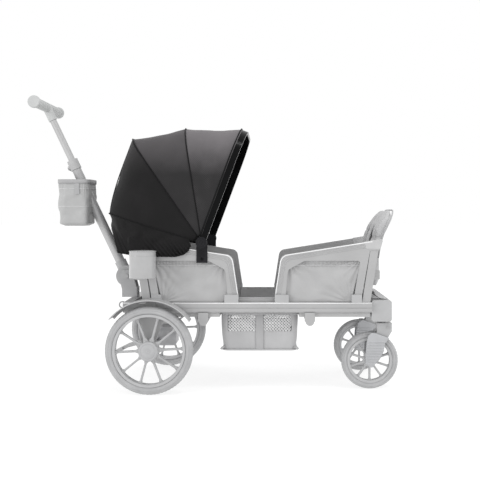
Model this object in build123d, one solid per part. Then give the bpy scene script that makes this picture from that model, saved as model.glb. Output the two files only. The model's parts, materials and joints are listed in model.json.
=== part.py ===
from build123d import *
import math
import os

# Two-seat stroller wagon. Millimetres; x forward, y to the wagon's left, z up, z = 0 on the ground.
# While it is built, x = 0 lies midway between the seats. "right" is -y, and the front is +x.

# ---- wheels
rear_wheel_radius = 152.5
rear_tyre_width = 45
rear_rim_radius = 126
rear_wheel_x = -370
rail_to_tyre = 27.5
rear_hub_radius = 34
hub_cap_reach = 15.5
rear_axle_radius = 8
front_wheel_radius = 101.5
front_tyre_width = 36
front_rim_radius = 80.5
front_hub_radius = 18
front_axle_radius = 5
caster_trail = 50
caster_inset = 38
caster_offset = 47
stem_radius = 6
rim_thickness = 9
spoke_width = 7
spoke_count = 10

# ---- frame
half_width = 250
rail_width = 25
rail_wall = 3
rail_bottom = 277
rail_height = 35
rail_front = 406
rail_rear = -470
deck_thickness = 16
deck_inset = 12
cross_tube_x = 187.5
cross_tube_radius = 15
beam_depth = 30

# ---- seats
side_frame_thickness = 22
side_frame_gap = 6
frame_wall = 3
post_foot_height = 28
panel_thickness = 6
opening_corner = 20
rail_end_corner = 8
seat_half_width = 170
seat_top = 380
seat_depth = 208
back_pivot_x = 424
back_pivot_z = 408
back_rod_radius = 6

# ---- foot well under the deck
well_rear = -130
well_front = 150
well_half_width = 200
well_floor = 134
well_wall = 6

# ---- handle
handle_pivot_x = -493.5
handle_pivot_z = 390
handle_tilt = 25.6
handle_hub_radius = 39
handle_hub_width = 43
handle_pin_radius = 6
lower_tube_radius = 17.5
lower_tube_wall = 2.5
lower_tube_end = 462
upper_tube_radius = 12.5
upper_tube_start = 250
grip_centre = 705.5
grip_radius = 17.5
grip_length = 385
grip_cap_radius = 22.5
grip_socket_length = 54
grip_cap_length = 18
bag_low = 579
bag_high = 752
bag_half_width = 80

# ---- cup holder
cup_bore_radius = 41
cup_wall = 5
cup_bottom = 403
cup_top = 497

# ---- canopy
canopy_hub_x = -192
canopy_hub_z = 523.7
canopy_pin_radius = 5
canopy_corner = 120
front_bow = {"angle": 20.5, "length": 427, "width": 25, "depth": 10, "order": 3, "eye": 19}
mid_bow = {"angle": -9.1, "length": 412, "width": 9, "depth": 4, "order": 2, "eye": 12}
rear_bow = {"angle": -34.8, "length": 450, "width": 9, "depth": 4, "order": 1, "eye": 12}
back_wire = {"angle": -73.4, "length": 357, "width": 5, "depth": 3, "order": 0, "eye": 10}
bows = [back_wire, rear_bow, mid_bow, front_bow]
fabric_thickness = 2.5
gore_start = 62

# ---- clearances
running = 0.05
gap = 0.3
stack_gap = 0.5

# ---- sizes that follow from the ones above
rail_top = rail_bottom + rail_height
rail_inner = half_width - rail_width
frame_outer = half_width - side_frame_gap
frame_inner = frame_outer - side_frame_thickness
post_foot_top = rail_top + post_foot_height
rear_wheel_y = half_width + rail_to_tyre + rear_tyre_width / 2
caster_y = rail_inner - caster_inset
caster_axis_x = rail_front + caster_offset
front_wheel_x = caster_axis_x - caster_trail
tilt = math.radians(handle_tilt)
bracket_plate = 5
canopy_y = frame_outer + bracket_plate


# ---- basic shapes
def block(x, y, z):
    """A box from its low and high limits along each axis."""
    size = [high - low for low, high in (x, y, z)]
    centre = [(high + low) / 2 for low, high in (x, y, z)]
    return Pos(*centre) * Box(*size)


def slab(points, low, high, radius=0):
    """An outline in the x-z plane, extruded along y from low to high."""
    outline = FilletPolyline(*points, radius=radius, close=True)
    face = Plane.XZ * make_face(outline)
    return Pos(0, low, 0) * extrude(face, amount=high - low, dir=(0, 1, 0))


def hollow_slab(points, low, high, wall, radius=0):
    """The same, closed but hollow, with one wall thickness all round."""
    core = offset(make_face(FilletPolyline(*points, radius=radius, close=True)), amount=-wall)
    cavity = Pos(0, low + wall, 0) * extrude(Plane.XZ * core, amount=high - low - 2 * wall, dir=(0, 1, 0))
    return slab(points, low, high, radius) - cavity


def rod(start, end, radius):
    """A round bar between two points."""
    run = Vector(*end) - Vector(*start)
    return extrude(Plane(origin=start, z_dir=run) * Circle(radius), amount=run.length)


def cross_rod(x, z, radius, low, high):
    """A round bar along y."""
    return rod((x, low, z), (x, high, z), radius)


def both_sides(shape):
    """A shape on the left and its mirror image on the right, as one group."""
    return Compound(children=[shape, mirror(shape, Plane.XZ)])


def other_end(shape):
    """The same shape at the rear end, mirrored about x = 0."""
    return mirror(shape, Plane.YZ)


def along_handle(t, across=0):
    """The x and z of a point t up the handle's axis and a distance behind it."""
    x = handle_pivot_x - t * math.sin(tilt) - across * math.cos(tilt)
    z = handle_pivot_z + t * math.cos(tilt) - across * math.sin(tilt)
    return x, z


def handle_rod(low, high, radius):
    """A round bar along the handle's axis."""
    (x_low, z_low), (x_high, z_high) = along_handle(low), along_handle(high)
    return rod((x_low, 0, z_low), (x_high, 0, z_high), radius)


# ---- wheels
def wheel_parts(radius, width, rim_radius, hub_radius, hub_half, bore, first_spoke):
    """A tyre and its spoked rim about the y axis, at the origin."""
    tyre = cross_rod(0, 0, radius, -width / 2, width / 2) - cross_rod(0, 0, rim_radius, -width, width)
    outer = tyre.edges().filter_by(GeomType.CIRCLE).filter_by(lambda e: e.radius > rim_radius + 1)
    tyre = fillet(outer, width * 0.32)
    rim_half = width / 2 - 4
    rim = cross_rod(0, 0, rim_radius, -rim_half, rim_half)
    rim -= cross_rod(0, 0, rim_radius - rim_thickness, -width, width)
    rim += cross_rod(0, 0, hub_radius, -hub_half, hub_half)
    reach = rim_radius - rim_thickness / 2
    for k in range(spoke_count):
        spoke = block((hub_radius - 3, reach), (-6, 6), (-spoke_width / 2, spoke_width / 2))
        rim += Rot(0, -(first_spoke + k * 360 / spoke_count), 0) * spoke
    return tyre, rim - cross_rod(0, 0, bore, -width * 2, width * 2)


def rear_wheel(side):
    hub_half = rear_tyre_width / 2
    tyre, rim = wheel_parts(rear_wheel_radius, rear_tyre_width, rear_rim_radius, rear_hub_radius,
                            hub_half, rear_axle_radius + running, 3)
    cap = cross_rod(0, 0, rear_hub_radius, hub_half, hub_half + hub_cap_reach)
    cap -= cross_rod(0, 0, rear_axle_radius + 2, hub_half - 1, hub_half + hub_cap_reach - 5)
    place = Pos(rear_wheel_x, side * rear_wheel_y, rear_wheel_radius)
    cap = cap if side > 0 else mirror(cap, Plane.XZ)
    return place * tyre, place * rim, place * cap


def front_wheel(side):
    tyre, rim = wheel_parts(front_wheel_radius, front_tyre_width, front_rim_radius, front_hub_radius,
                            fork_inner - gap, front_axle_radius + running, 18)
    place = Pos(front_wheel_x, side * caster_y, front_wheel_radius)
    return place * tyre, place * rim


# ---- casters
fork_inner = front_tyre_width / 2 + 2.5
fork_leg = 5.5
cover_thickness = 11
crown_height = 29
crown_low = 2 * front_wheel_radius + 4
crown_high = crown_low + crown_height
crown_half = 24
crown_rear = caster_axis_x - 25
crown_front = caster_axis_x + 27
knuckle_bottom = crown_high + 8
knuckle_top = rail_top + 7
knuckle_front = caster_axis_x + 24
knuckle_inner = caster_y - crown_half
stem_top = rail_top - 12
lock_radius = 5
lock_x = caster_axis_x + 13
lock_z = crown_low + 14
lock_depth = 12
lock_reach = 6
lock_travel = 3


def caster_fork(side):
    axle_x, axle_z = front_wheel_x, front_wheel_radius
    outline = [(crown_rear, crown_high), (crown_front, crown_high), (crown_front, crown_low),
               (caster_axis_x - 2, crown_low - 47), (axle_x + 22, axle_z - 7.5), (axle_x, axle_z - 17.5),
               (axle_x - 17, axle_z - 7.5), (axle_x - 13, axle_z + 18.5), (crown_rear, crown_low)]
    leg = slab(outline, fork_inner, fork_inner + fork_leg)
    fork = leg + mirror(leg, Plane.XZ)
    fork += block((crown_rear, crown_front), (-crown_half, crown_half), (crown_low, crown_high))
    fork += rod((caster_axis_x, 0, crown_high), (caster_axis_x, 0, stem_top), stem_radius)
    fork += rod((caster_axis_x, 0, crown_high), (caster_axis_x, 0, knuckle_bottom - gap), 14)
    reach = fork_inner + fork_leg
    fork += cross_rod(axle_x, axle_z, front_axle_radius, -reach, reach)
    fork -= cross_rod(lock_x, lock_z, lock_radius + running, side * (crown_half - lock_depth),
                      side * (crown_half + 20))
    return Pos(0, side * caster_y, 0) * fork


def caster_covers(side):
    reach = fork_inner + fork_leg
    axis_x, axle_x, axle_z = caster_axis_x, front_wheel_x, front_wheel_radius
    outline = [(axis_x - 44, crown_low - 5), (axis_x + 17, crown_low - 23), (axis_x + 2, crown_low - 45),
               (axis_x - 1, axle_z + 35.5), (axle_x + 20, axle_z - 9.5), (axle_x + 4, axle_z - 21.5),
               (axle_x - 15, axle_z - 14.5), (axle_x - 18, axle_z + 15.5), (axis_x - 60, crown_low - 40)]
    cover = slab(outline, reach, reach + cover_thickness)
    return Pos(0, side * caster_y, 0) * both_sides(cover)


def caster_lock(side):
    inner = crown_half - lock_depth + lock_travel + 1
    pin = cross_rod(lock_x, lock_z, lock_radius, side * inner, side * (crown_half + lock_reach))
    return Pos(0, side * caster_y, 0) * pin


def front_knuckles():
    body = block((rail_front, knuckle_front), (knuckle_inner, half_width - 14), (knuckle_bottom, knuckle_top))
    body = fillet(body.edges().filter_by(Axis.Y), 9)
    bore = rod((caster_axis_x, caster_y, knuckle_bottom - 1), (caster_axis_x, caster_y, stem_top + 4),
               stem_radius + running)
    return both_sides(body - bore)


# ---- frame
def side_rails():
    rail = block((rail_rear, rail_front), (rail_inner, half_width), (rail_bottom, rail_top))
    rail = chamfer(rail.edges().filter_by(Axis.X).sort_by(Axis.Y)[-2:], 4)
    wall = rail_wall
    rail -= block((rail_rear + wall, rail_front - wall), (rail_inner + wall, half_width - wall - 1.5),
                  (rail_bottom + wall, rail_top - wall - 1.5))
    groove_z = rail_bottom + rail_height * 0.42
    rail -= block((rail_rear - 1, rail_front + 1), (half_width - 1.5, half_width + 1),
                  (groove_z, groove_z + 3))
    return both_sides(rail)


def deck(rear, front):
    reach = half_width - deck_inset
    return block((rear, front), (-reach, reach), (rail_bottom - deck_thickness, rail_bottom))


def cross_tubes():
    z = rail_bottom - deck_thickness - 0.5 - cross_tube_radius
    tube = cross_rod(cross_tube_x, z, cross_tube_radius, -half_width, half_width)
    tube -= cross_rod(cross_tube_x, z, cross_tube_radius - rail_wall, rail_wall - half_width, half_width - rail_wall)
    lug_x = (cross_tube_x - 18, cross_tube_x + 18)
    lug = block(lug_x, (half_width - deck_inset + gap, half_width), (z, rail_bottom))
    tube += lug
    tube += mirror(lug, Plane.XZ)
    return Compound(children=[tube, other_end(tube)])


def front_cross_beam():
    return cross_rod(caster_axis_x - 15, rail_bottom + 6, 17.5, -knuckle_inner, knuckle_inner)


def rear_cross_beam():
    wall = rail_wall
    front = rail_rear + beam_depth
    beam = block((rail_rear, front), (-rail_inner, rail_inner), (rail_bottom, rail_top))
    beam -= block((rail_rear + wall, front - wall), (wall - rail_inner, rail_inner - wall),
                  (rail_bottom + wall, rail_top - wall))
    ring = Pos(rail_rear - 9, -200, rail_top - 12) * Rot(90, 0, 0) * Torus(11, 2.5)
    return Compound(children=[beam - ring, ring])


def axle_brackets():
    x, z = rear_wheel_x, rear_wheel_radius
    outline = [(x - 48, rail_bottom), (x + 47.5, rail_bottom), (x + 47.5, 258), (x + 16, 180), (x + 20, z - 22),
               (x - 20, z - 22), (x - 37, 180), (x - 48, 258)]
    plate = slab(outline, half_width - deck_inset + gap, half_width, radius=6)
    return both_sides(plate - cross_rod(x, z, rear_axle_radius, 0, half_width + 1))


pedal_x = -413
pedal_z = 146
pedal_pin_radius = 4
pedal_half_width = 20


def rear_axle():
    """The axle with the brake housing and the pedal's two ears round its middle."""
    reach = rear_wheel_y + rear_tyre_width / 2 + 8
    axle = cross_rod(rear_wheel_x, rear_wheel_radius, rear_axle_radius, -reach, reach)
    housing = block((-391, -303), (-45, 45), (132, 202))
    axle += fillet(housing.edges().filter_by(Axis.Y), 10)
    ear = slab([(-395, 134), (-395, 162), (-420, 156), (-424, 138)], pedal_half_width + gap, 34, radius=3)
    axle += ear
    axle += mirror(ear, Plane.XZ)
    axle += cross_rod(pedal_x, pedal_z, pedal_pin_radius, -34, 34)
    return axle


def brake_pedal():
    outline = [(pedal_x + 10, pedal_z - 6), (pedal_x + 10, pedal_z + 7), (-440, 146), (-490, 132), (-540, 106),
               (-538, 96), (-488, 120), (-440, 133)]
    pedal = slab(outline, -pedal_half_width, pedal_half_width, radius=2.5)
    pad = slab([(-508, 122), (-540, 106), (-538, 96), (-504, 112)], -34, 34, radius=2)
    return pedal + pad - cross_rod(pedal_x, pedal_z, pedal_pin_radius + running, -50, 50)


def fenders():
    """An arched guard over each rear wheel, with its inner lip and a tab to the rail."""
    outer, low, high = rear_wheel_radius + 23.1, half_width + 8, rear_wheel_y + 30
    sheet, lip = 3, 12
    guard = cross_rod(0, 0, outer, low, high) - cross_rod(0, 0, outer - sheet, low - 1, high + 1)
    side = cross_rod(0, 0, outer, low, low + sheet) - cross_rod(0, 0, outer - lip, low - 1, high)
    guard += side
    reach = 2 * outer
    wedge = [(0, 0)]
    for angle in (36, 70, 105, 141):
        wedge.append((reach * math.cos(math.radians(angle)), reach * math.sin(math.radians(angle))))
    guard &= slab(wedge, low, high)
    tab = block((-18, 18), (half_width, low + 1), (outer - 34, outer - 1))
    return both_sides(Pos(rear_wheel_x, 0, rear_wheel_radius) * (guard + tab))


# ---- seats
def side_frame(end, side):
    """An inverted U whose top rail rises towards the end of the wagon."""
    outline = [(65, post_foot_top), (86, 477), (443, 533.5), (431, 494.5), (399.5, 494.5),
               (371, post_foot_top), (345, post_foot_top), (347.5, 357), (365, 459), (169.5, 459),
               (110, 427), (103, post_foot_top)]
    radii = [0, 25, 12, 3, 0, 0, 0, 0, rail_end_corner, opening_corner, opening_corner, 0]
    frame = hollow_slab(outline, frame_inner, frame_outer, frame_wall, radius=radii)
    frame = frame if side > 0 else mirror(frame, Plane.XZ)
    return frame if end > 0 else other_end(frame)


def side_panels():
    """Fabric in each side frame, down to the rail."""
    middle = (frame_inner + frame_outer) / 2
    low, high = middle - panel_thickness / 2, middle + panel_thickness / 2
    outline = [(115, rail_top + gap), (103 + gap, post_foot_top + 2), (110 + gap, 426), (171, 459 - gap),
               (365 - gap - 2, 459 - gap), (347 - gap, 357), (332, rail_top + gap)]
    panel = slab(outline, low, high, radius=[0, 0, opening_corner, opening_corner, rail_end_corner, 0, 0])
    panel -= post_foot_block()
    pair = both_sides(panel)
    return Compound(children=[pair, other_end(pair)])


def post_foot_block():
    """The two sockets that hold one side frame's posts."""
    low, high = frame_inner, half_width
    inner = block((64, 113), (low, high), (rail_top, post_foot_top))
    outer = block((334, 370.5), (low, high), (rail_top, post_foot_top))
    return Compound(children=[inner, outer])


def post_sockets():
    pair = both_sides(post_foot_block())
    return Compound(children=[pair, other_end(pair)])


def end_frames():
    """Two corner posts at each end, a low tube between them and the rod the back turns on."""
    post = slab([(371 + gap, rail_top), (400 + gap, 494), (429, 494), (400, rail_top)], frame_inner - 8,
                frame_outer)
    ear = slab([(384, 384), (437, 392), (437, 424), (392, 430)], frame_inner - 17, frame_inner - 8, radius=4)
    frame = post + ear
    frame += mirror(post + ear, Plane.XZ)
    frame += cross_rod(386, 330, 11, -frame_inner, frame_inner)
    frame += cross_rod(back_pivot_x, back_pivot_z, back_rod_radius, 12 - frame_inner, frame_inner - 12)
    return Compound(children=[frame, other_end(frame)])


# The rear pad's lower edge swings clear of the handle's hub.
pad_behind_pivot = 17
front_pad_drop = 48
hub_reach = math.hypot(handle_pivot_x + back_pivot_x, handle_pivot_z - back_pivot_z) - handle_hub_radius
rear_pad_drop = math.sqrt((hub_reach - 1.5) ** 2 - pad_behind_pivot ** 2)


def back_board():
    """The hinge sleeve and the stiff board inside a seat back."""
    sleeve = cross_rod(back_pivot_x, back_pivot_z, back_rod_radius + 5, -seat_half_width + 5,
                       seat_half_width - 5)
    board = slab([(421, 404), (427, 404), (455, 560), (449, 560)], -140, 140)
    bore = cross_rod(back_pivot_x, back_pivot_z, back_rod_radius + running, -300, 300)
    return sleeve + board - bore


def back_pad(bottom):
    """A padded seat back that curves away at the head, from a given bottom edge."""
    rear = back_pivot_x + pad_behind_pivot
    outline = [(400, bottom), (rear, bottom), (440, 464), (447, 508), (453, 532), (465, 564), (481, 594),
               (500.5, 636), (496, 643), (484, 643), (460, 618), (438, 585), (424, 532), (404, 440)]
    pad = slab(outline, -seat_half_width, seat_half_width)
    pad -= back_board()
    return pad - cross_rod(back_pivot_x, back_pivot_z, back_rod_radius + gap, -300, 300)


def seat_cushions():
    front = 368
    reach = rail_inner - 30
    seat = block((front - seat_depth, front), (-reach, reach), (rail_bottom, seat_top))
    seat = fillet(seat.edges().filter_by(Axis.Y).sort_by(Axis.Z)[-2:], 18)
    return Compound(children=[seat, other_end(seat)])


def front_cover():
    """The curved kick panel below the front seat back."""
    x, z = caster_axis_x, knuckle_top
    outline = [(x - 45, z + 33), (x - 36, z + 33), (x - 28, z + 16), (x - 13, z + 7.5), (x + 13, z + 5),
               (x + 13, z + 1), (x - 15, z + 1), (x - 32, z + 12), (x - 44, z + 30)]
    reach = frame_inner - 18
    return slab(outline, -reach, reach)


def foot_well():
    """The tub between the seats that takes both riders' feet, hung from the rails."""
    rear, front = well_rear + gap, well_front - gap
    tub = block((rear, front), (-well_half_width, well_half_width), (well_floor, rail_bottom))
    tub += block((rear, front), (-rail_inner, rail_inner), (rail_bottom - 6, rail_bottom))
    inner = well_half_width - well_wall
    return tub - block((rear + well_wall, front - well_wall), (-inner, inner),
                       (well_floor + well_wall, rail_bottom + 1))


def cup_holder():
    y = -(canopy_y + fabric_thickness + 1.5 + cup_bore_radius + cup_wall)
    x = -393
    cup = rod((x, y, cup_bottom), (x, y, cup_top), cup_bore_radius + cup_wall)
    arm = block((x - 18, x + 12), (y, -frame_outer), (cup_bottom + 22, cup_bottom + 62))
    return cup + arm - rod((x, y, cup_bottom + cup_wall), (x, y, cup_top + 1), cup_bore_radius)


# ---- handle
bracket_ear_low = handle_hub_width / 2 + gap
bracket_half = 34
bracket_base_height = 36


def handle_bracket():
    x, z = handle_pivot_x, handle_pivot_z
    high = rail_top + bracket_base_height
    low = high - 8
    base = block((x - 14.5, x + 41.5), (-bracket_half, bracket_half), (rail_top, high))
    ear = slab([(x - 14.5, low), (x + 41.5, low), (x + 27.5, z + 2), (x + 13.5, z + 22), (x - 14.5, z + 22),
                (x - 26.5, z + 2)], bracket_ear_low, bracket_half, radius=[0, 0, 8, 8, 8, 8])
    bracket = base + ear
    bracket += mirror(ear, Plane.XZ)
    return bracket - cross_rod(x, z, handle_pin_radius, -60, 60)


def handle_pivot_pin():
    pin = cross_rod(handle_pivot_x, handle_pivot_z, handle_pin_radius, -bracket_half - 4, bracket_half + 4)
    for low, high in ((-bracket_half - 4, -bracket_half), (bracket_half, bracket_half + 4)):
        pin += cross_rod(handle_pivot_x, handle_pivot_z, handle_pin_radius + 4, low, high)
    return pin


def handle_hub():
    half = handle_hub_width / 2
    hub = cross_rod(handle_pivot_x, handle_pivot_z, handle_hub_radius, -half, half)
    hub += handle_rod(20, 62, lower_tube_radius + 4) & block((-800, 0), (-half, half), (0, 900))
    hub -= handle_rod(20, 100, lower_tube_radius)
    return hub - cross_rod(handle_pivot_x, handle_pivot_z, handle_pin_radius + running, -100, 100)


def handle_lower_tube():
    outer = handle_rod(20, lower_tube_end, lower_tube_radius)
    return outer - handle_rod(19, lower_tube_end + 1, lower_tube_radius - lower_tube_wall)


collar_low = 446
collar_high = 484
collar_radius = lower_tube_radius + 3
button_radius = 6
button_centre = 460


def collar_button_rod(low, high, radius):
    """A round bar square to the handle, on its rear side."""
    (x_low, z_low), (x_high, z_high) = along_handle(button_centre, low), along_handle(button_centre, high)
    return rod((x_low, 0, z_low), (x_high, 0, z_high), radius)


def handle_collar():
    collar = handle_rod(collar_low, collar_high, collar_radius)
    collar += collar_button_rod(0, collar_radius + 3, button_radius + 4)
    collar -= handle_rod(collar_low - 1, lower_tube_end, lower_tube_radius)
    collar -= handle_rod(lower_tube_end - 1, collar_high + 1, upper_tube_radius + running)
    return collar - collar_button_rod(lower_tube_radius, collar_radius + 20, button_radius + running)


def handle_button():
    return collar_button_rod(lower_tube_radius + 3, collar_radius + 7, button_radius)


def handle_upper_tube():
    tube = handle_rod(upper_tube_start, grip_centre - 20, upper_tube_radius)
    return tube + handle_rod(upper_tube_start, upper_tube_start + 15,
                             lower_tube_radius - lower_tube_wall - running)


def handle_grip():
    x, z = along_handle(grip_centre)
    half = grip_length / 2
    grip = cross_rod(x, z, grip_radius, -half + grip_cap_length, half - grip_cap_length)
    grip += handle_rod(grip_centre - grip_socket_length, grip_centre, upper_tube_radius + 3.5)
    grip -= handle_rod(grip_centre - grip_socket_length - 6, grip_centre - 20, upper_tube_radius)
    cap = cross_rod(x, z, grip_cap_radius, half - grip_cap_length, half)
    cap = fillet(cap.edges().filter_by(GeomType.CIRCLE), 5)
    return Compound(children=[grip, cap, mirror(cap, Plane.XZ)])


bag_rear = -742
bag_front = -622
bag_wall = 5
bag_sleeve_half = 24


def handle_bag():
    """The organiser: a tapered bag round the tube, with an open pocket on each side of it."""
    outline = [(bag_rear + 8, bag_low), (bag_front - 6, bag_low), (bag_front, bag_high), (bag_rear, bag_high)]
    bag = slab(outline, -bag_half_width, bag_half_width, radius=[14, 14, 2, 2])
    pocket = block((bag_rear + 8 + bag_wall, bag_front - 6 - bag_wall),
                   (bag_sleeve_half, bag_half_width - bag_wall), (bag_low + bag_wall, bag_high + 1))
    bag -= pocket
    bag -= mirror(pocket, Plane.XZ)
    return bag - handle_rod(100, 440, lower_tube_radius + gap)


# ---- canopy
def bow_inner_y(bow):
    """Each bow's legs lie outside those of the bows before it."""
    below = sum(other["depth"] + stack_gap for other in bows[: bow["order"]])
    return canopy_y + stack_gap + below


def bow_place(bow):
    return Pos(canopy_hub_x, 0, canopy_hub_z) * Rot(0, bow["angle"], 0)


def arch(half, top, foot, thickness, corner=canopy_corner):
    """A flat upside-down U in the y-z plane."""
    outer = FilletPolyline((-half, foot), (-half, top), (half, top), (half, foot), radius=corner)
    face = make_face([*outer.edges(), Line((half, foot), (-half, foot))])
    low, high = half - thickness, top - thickness
    inner = FilletPolyline((-low, foot), (-low, high), (low, high), (low, foot), radius=corner - thickness)
    return Plane.YZ * (face - make_face([*inner.edges(), Line((low, foot), (-low, foot))]))


def bow_solid(bow):
    inner, depth, width = bow_inner_y(bow), bow["depth"], bow["width"]
    band = extrude(arch(inner + depth, bow["length"], 0, depth), amount=width / 2, both=True)
    eye = cross_rod(0, 0, bow["eye"], inner, inner + depth)
    band += eye
    band += mirror(eye, Plane.XZ)
    hole = cross_rod(0, 0, canopy_pin_radius + (running if bow["order"] else 0), -400, 400)
    return bow_place(bow) * (band - hole)


def gore(front, rear):
    """The fabric between two bows."""
    faces = []
    for bow, way in ((front, -1), (rear, 1)):
        half = bow_inner_y(bow) + bow["depth"]
        aside = Pos(way * (bow["width"] / 2 + stack_gap), 0, 0)
        faces.append(bow_place(bow) * aside * arch(half, bow["length"], gore_start, fabric_thickness))
    return loft(faces, ruled=True)


def canopy_brackets():
    """A clamp over the side frame's top rail on each side, with the pin that the bows turn on."""
    x = canopy_hub_x
    outer = slab([(x - 19.5, 452), (x + 19.5, 452), (x + 19.5, canopy_hub_z), (x + 12, canopy_hub_z + 16),
                  (x - 12, canopy_hub_z + 16), (x - 19.5, canopy_hub_z)], frame_outer, canopy_y)
    top = bow_inner_y(front_bow) + front_bow["depth"] + stack_gap
    outer += cross_rod(x, canopy_hub_z, canopy_pin_radius, canopy_y - 1, top)
    outer += cross_rod(x, canopy_hub_z, 20, top, top + 3.5)
    return both_sides(outer)


def canopy_skirt():
    """The gathered fabric below the back wire, round the rear of the canopy."""
    side = [(-232, 515), (-253, 482), (-353, 479), (-470, 496), (-488, 509), (-512, 561), (-525, 616),
            (-250, 534)]
    wall = slab(side, canopy_y + stack_gap / 2, canopy_y + fabric_thickness)
    reach = canopy_y + fabric_thickness
    back = slab([(-488, 509), (-512, 561), (-525, 616), (-522.5, 616), (-509.5, 561), (-485.5, 509)],
                -reach, reach)
    return back + wall + mirror(wall, Plane.XZ)


# ---- the whole wagon
def all_nodes():
    nodes = {
        "side_rails": side_rails(),
        "front_deck": deck(well_front, rail_front - 6),
        "rear_deck": deck(rail_rear + 5, well_rear),
        "cross_tubes": cross_tubes(),
        "front_cross_beam": front_cross_beam(),
        "rear_cross_beam": rear_cross_beam(),
        "front_knuckles": front_knuckles(),
        "axle_brackets": axle_brackets(),
        "rear_axle": rear_axle(),
        "brake_pedal": brake_pedal(),
        "fenders": fenders(),
        "side_panels": side_panels(),
        "post_sockets": post_sockets(),
        "end_frames": end_frames(),
        "seat_cushions": seat_cushions(),
        "front_cover": front_cover(),
        "foot_well": foot_well(),
        "cup_holder": cup_holder(),
        "handle_bracket": handle_bracket(),
        "handle_pivot_pin": handle_pivot_pin(),
        "handle_hub": handle_hub(),
        "handle_lower_tube": handle_lower_tube(),
        "handle_collar": handle_collar(),
        "handle_button": handle_button(),
        "handle_upper_tube": handle_upper_tube(),
        "handle_grip": handle_grip(),
        "handle_bag": handle_bag(),
        "canopy_brackets": canopy_brackets(),
        "canopy_back_wire": bow_solid(back_wire),
        "canopy_rear_bow": bow_solid(rear_bow),
        "canopy_mid_bow": bow_solid(mid_bow),
        "canopy_front_bow": bow_solid(front_bow),
        "canopy_front_gore": gore(front_bow, mid_bow),
        "canopy_mid_gore": gore(mid_bow, rear_bow),
        "canopy_rear_gore": gore(rear_bow, back_wire),
        "canopy_skirt": canopy_skirt(),
        "front_back_board": back_board(),
        "front_back_pad": back_pad(back_pivot_z - front_pad_drop),
        "rear_back_board": other_end(back_board()),
        "rear_back_pad": other_end(back_pad(back_pivot_z - rear_pad_drop)),
    }
    for name, side in (("right", -1), ("left", 1)):
        nodes[f"front_side_frame_{name}"] = side_frame(1, side)
        nodes[f"rear_side_frame_{name}"] = side_frame(-1, side)
        tyre, rim, cap = rear_wheel(side)
        nodes[f"rear_tyre_{name}"] = tyre
        nodes[f"rear_rim_{name}"] = rim
        nodes[f"rear_hub_cap_{name}"] = cap
        tyre, rim = front_wheel(side)
        nodes[f"front_tyre_{name}"] = tyre
        nodes[f"front_rim_{name}"] = rim
        nodes[f"caster_fork_{name}"] = caster_fork(side)
        nodes[f"caster_covers_{name}"] = caster_covers(side)
        nodes[f"caster_lock_{name}"] = caster_lock(side)
    return nodes


nodes = all_nodes()
rearmost = min(shape.bounding_box().min.X for shape in nodes.values())
foremost = max(shape.bounding_box().max.X for shape in nodes.values())
origin_x = (rearmost + foremost) / 2  # the finished frame's origin lies on the ground below the middle

os.makedirs("parts", exist_ok=True)
for name, shape in nodes.items():
    export_step(Pos(-origin_x, 0, 0) * shape, f"parts/{name}.step")
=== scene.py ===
import json
import math

import bmesh
import bpy
import numpy as np
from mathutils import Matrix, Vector, noise


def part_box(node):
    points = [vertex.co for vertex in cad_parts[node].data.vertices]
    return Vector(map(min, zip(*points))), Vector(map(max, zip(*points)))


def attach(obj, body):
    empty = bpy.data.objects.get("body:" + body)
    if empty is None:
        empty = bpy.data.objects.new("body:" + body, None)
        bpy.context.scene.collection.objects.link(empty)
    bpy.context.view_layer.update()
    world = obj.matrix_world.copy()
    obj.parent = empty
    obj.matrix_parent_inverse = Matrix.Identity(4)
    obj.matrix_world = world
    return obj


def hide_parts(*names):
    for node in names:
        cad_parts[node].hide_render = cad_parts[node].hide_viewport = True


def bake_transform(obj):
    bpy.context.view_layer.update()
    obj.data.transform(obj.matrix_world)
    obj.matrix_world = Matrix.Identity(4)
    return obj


# Looks for a two-seat stroller wagon. Metres; x forward, y to the wagon's left, z up.
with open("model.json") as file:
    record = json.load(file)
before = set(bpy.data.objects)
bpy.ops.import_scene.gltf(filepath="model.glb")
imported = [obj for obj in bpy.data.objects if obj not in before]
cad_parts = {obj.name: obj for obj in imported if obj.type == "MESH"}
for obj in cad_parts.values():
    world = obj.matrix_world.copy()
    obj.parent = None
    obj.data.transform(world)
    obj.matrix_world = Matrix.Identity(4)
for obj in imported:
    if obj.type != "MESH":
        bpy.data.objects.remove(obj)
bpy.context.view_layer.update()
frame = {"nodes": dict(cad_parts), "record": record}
nodes = frame["nodes"]
joints = {joint["name"]: joint for joint in frame["record"]["behaviour"]["joints"]}

SIDES = (("right", -1), ("left", 1))
ENDS = (("front", 1), ("rear", -1))


boxes = {name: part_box(name) for name in nodes}


def low(node):
    return boxes[node][0]


def high(node):
    return boxes[node][1]


# Places that the rest of the script is worked out from.
MIDDLE = (low("front_side_frame_right")[0] + high("rear_side_frame_right")[0]) / 2
RAIL_TOP = high("side_rails")[2]
FRAME_OUTER = high("front_side_frame_left")[1]
FRAME_INNER = low("front_side_frame_left")[1]
HUB = Vector(joints["canopy_fold"]["pos_m"])


# ------------------------------------------------------------------ materials
def socket(bsdf, **values):
    for name, value in values.items():
        bsdf.inputs[name.replace("_", " ")].default_value = value


def base_material(name, colour, roughness, **values):
    """A principled material, its nodes and its shader."""
    made = bpy.data.materials.new(name)
    made.use_nodes = True
    tree = made.node_tree
    bsdf = tree.nodes["Principled BSDF"]
    bsdf.inputs["Base Color"].default_value = (*colour, 1)
    bsdf.inputs["Roughness"].default_value = roughness
    socket(bsdf, **values)
    return made, tree, bsdf


def add(tree, kind, **values):
    node = tree.nodes.new(kind)
    for key, value in values.items():
        if key in node.inputs:
            node.inputs[key].default_value = value
        else:
            setattr(node, key, value)
    return node


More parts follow.
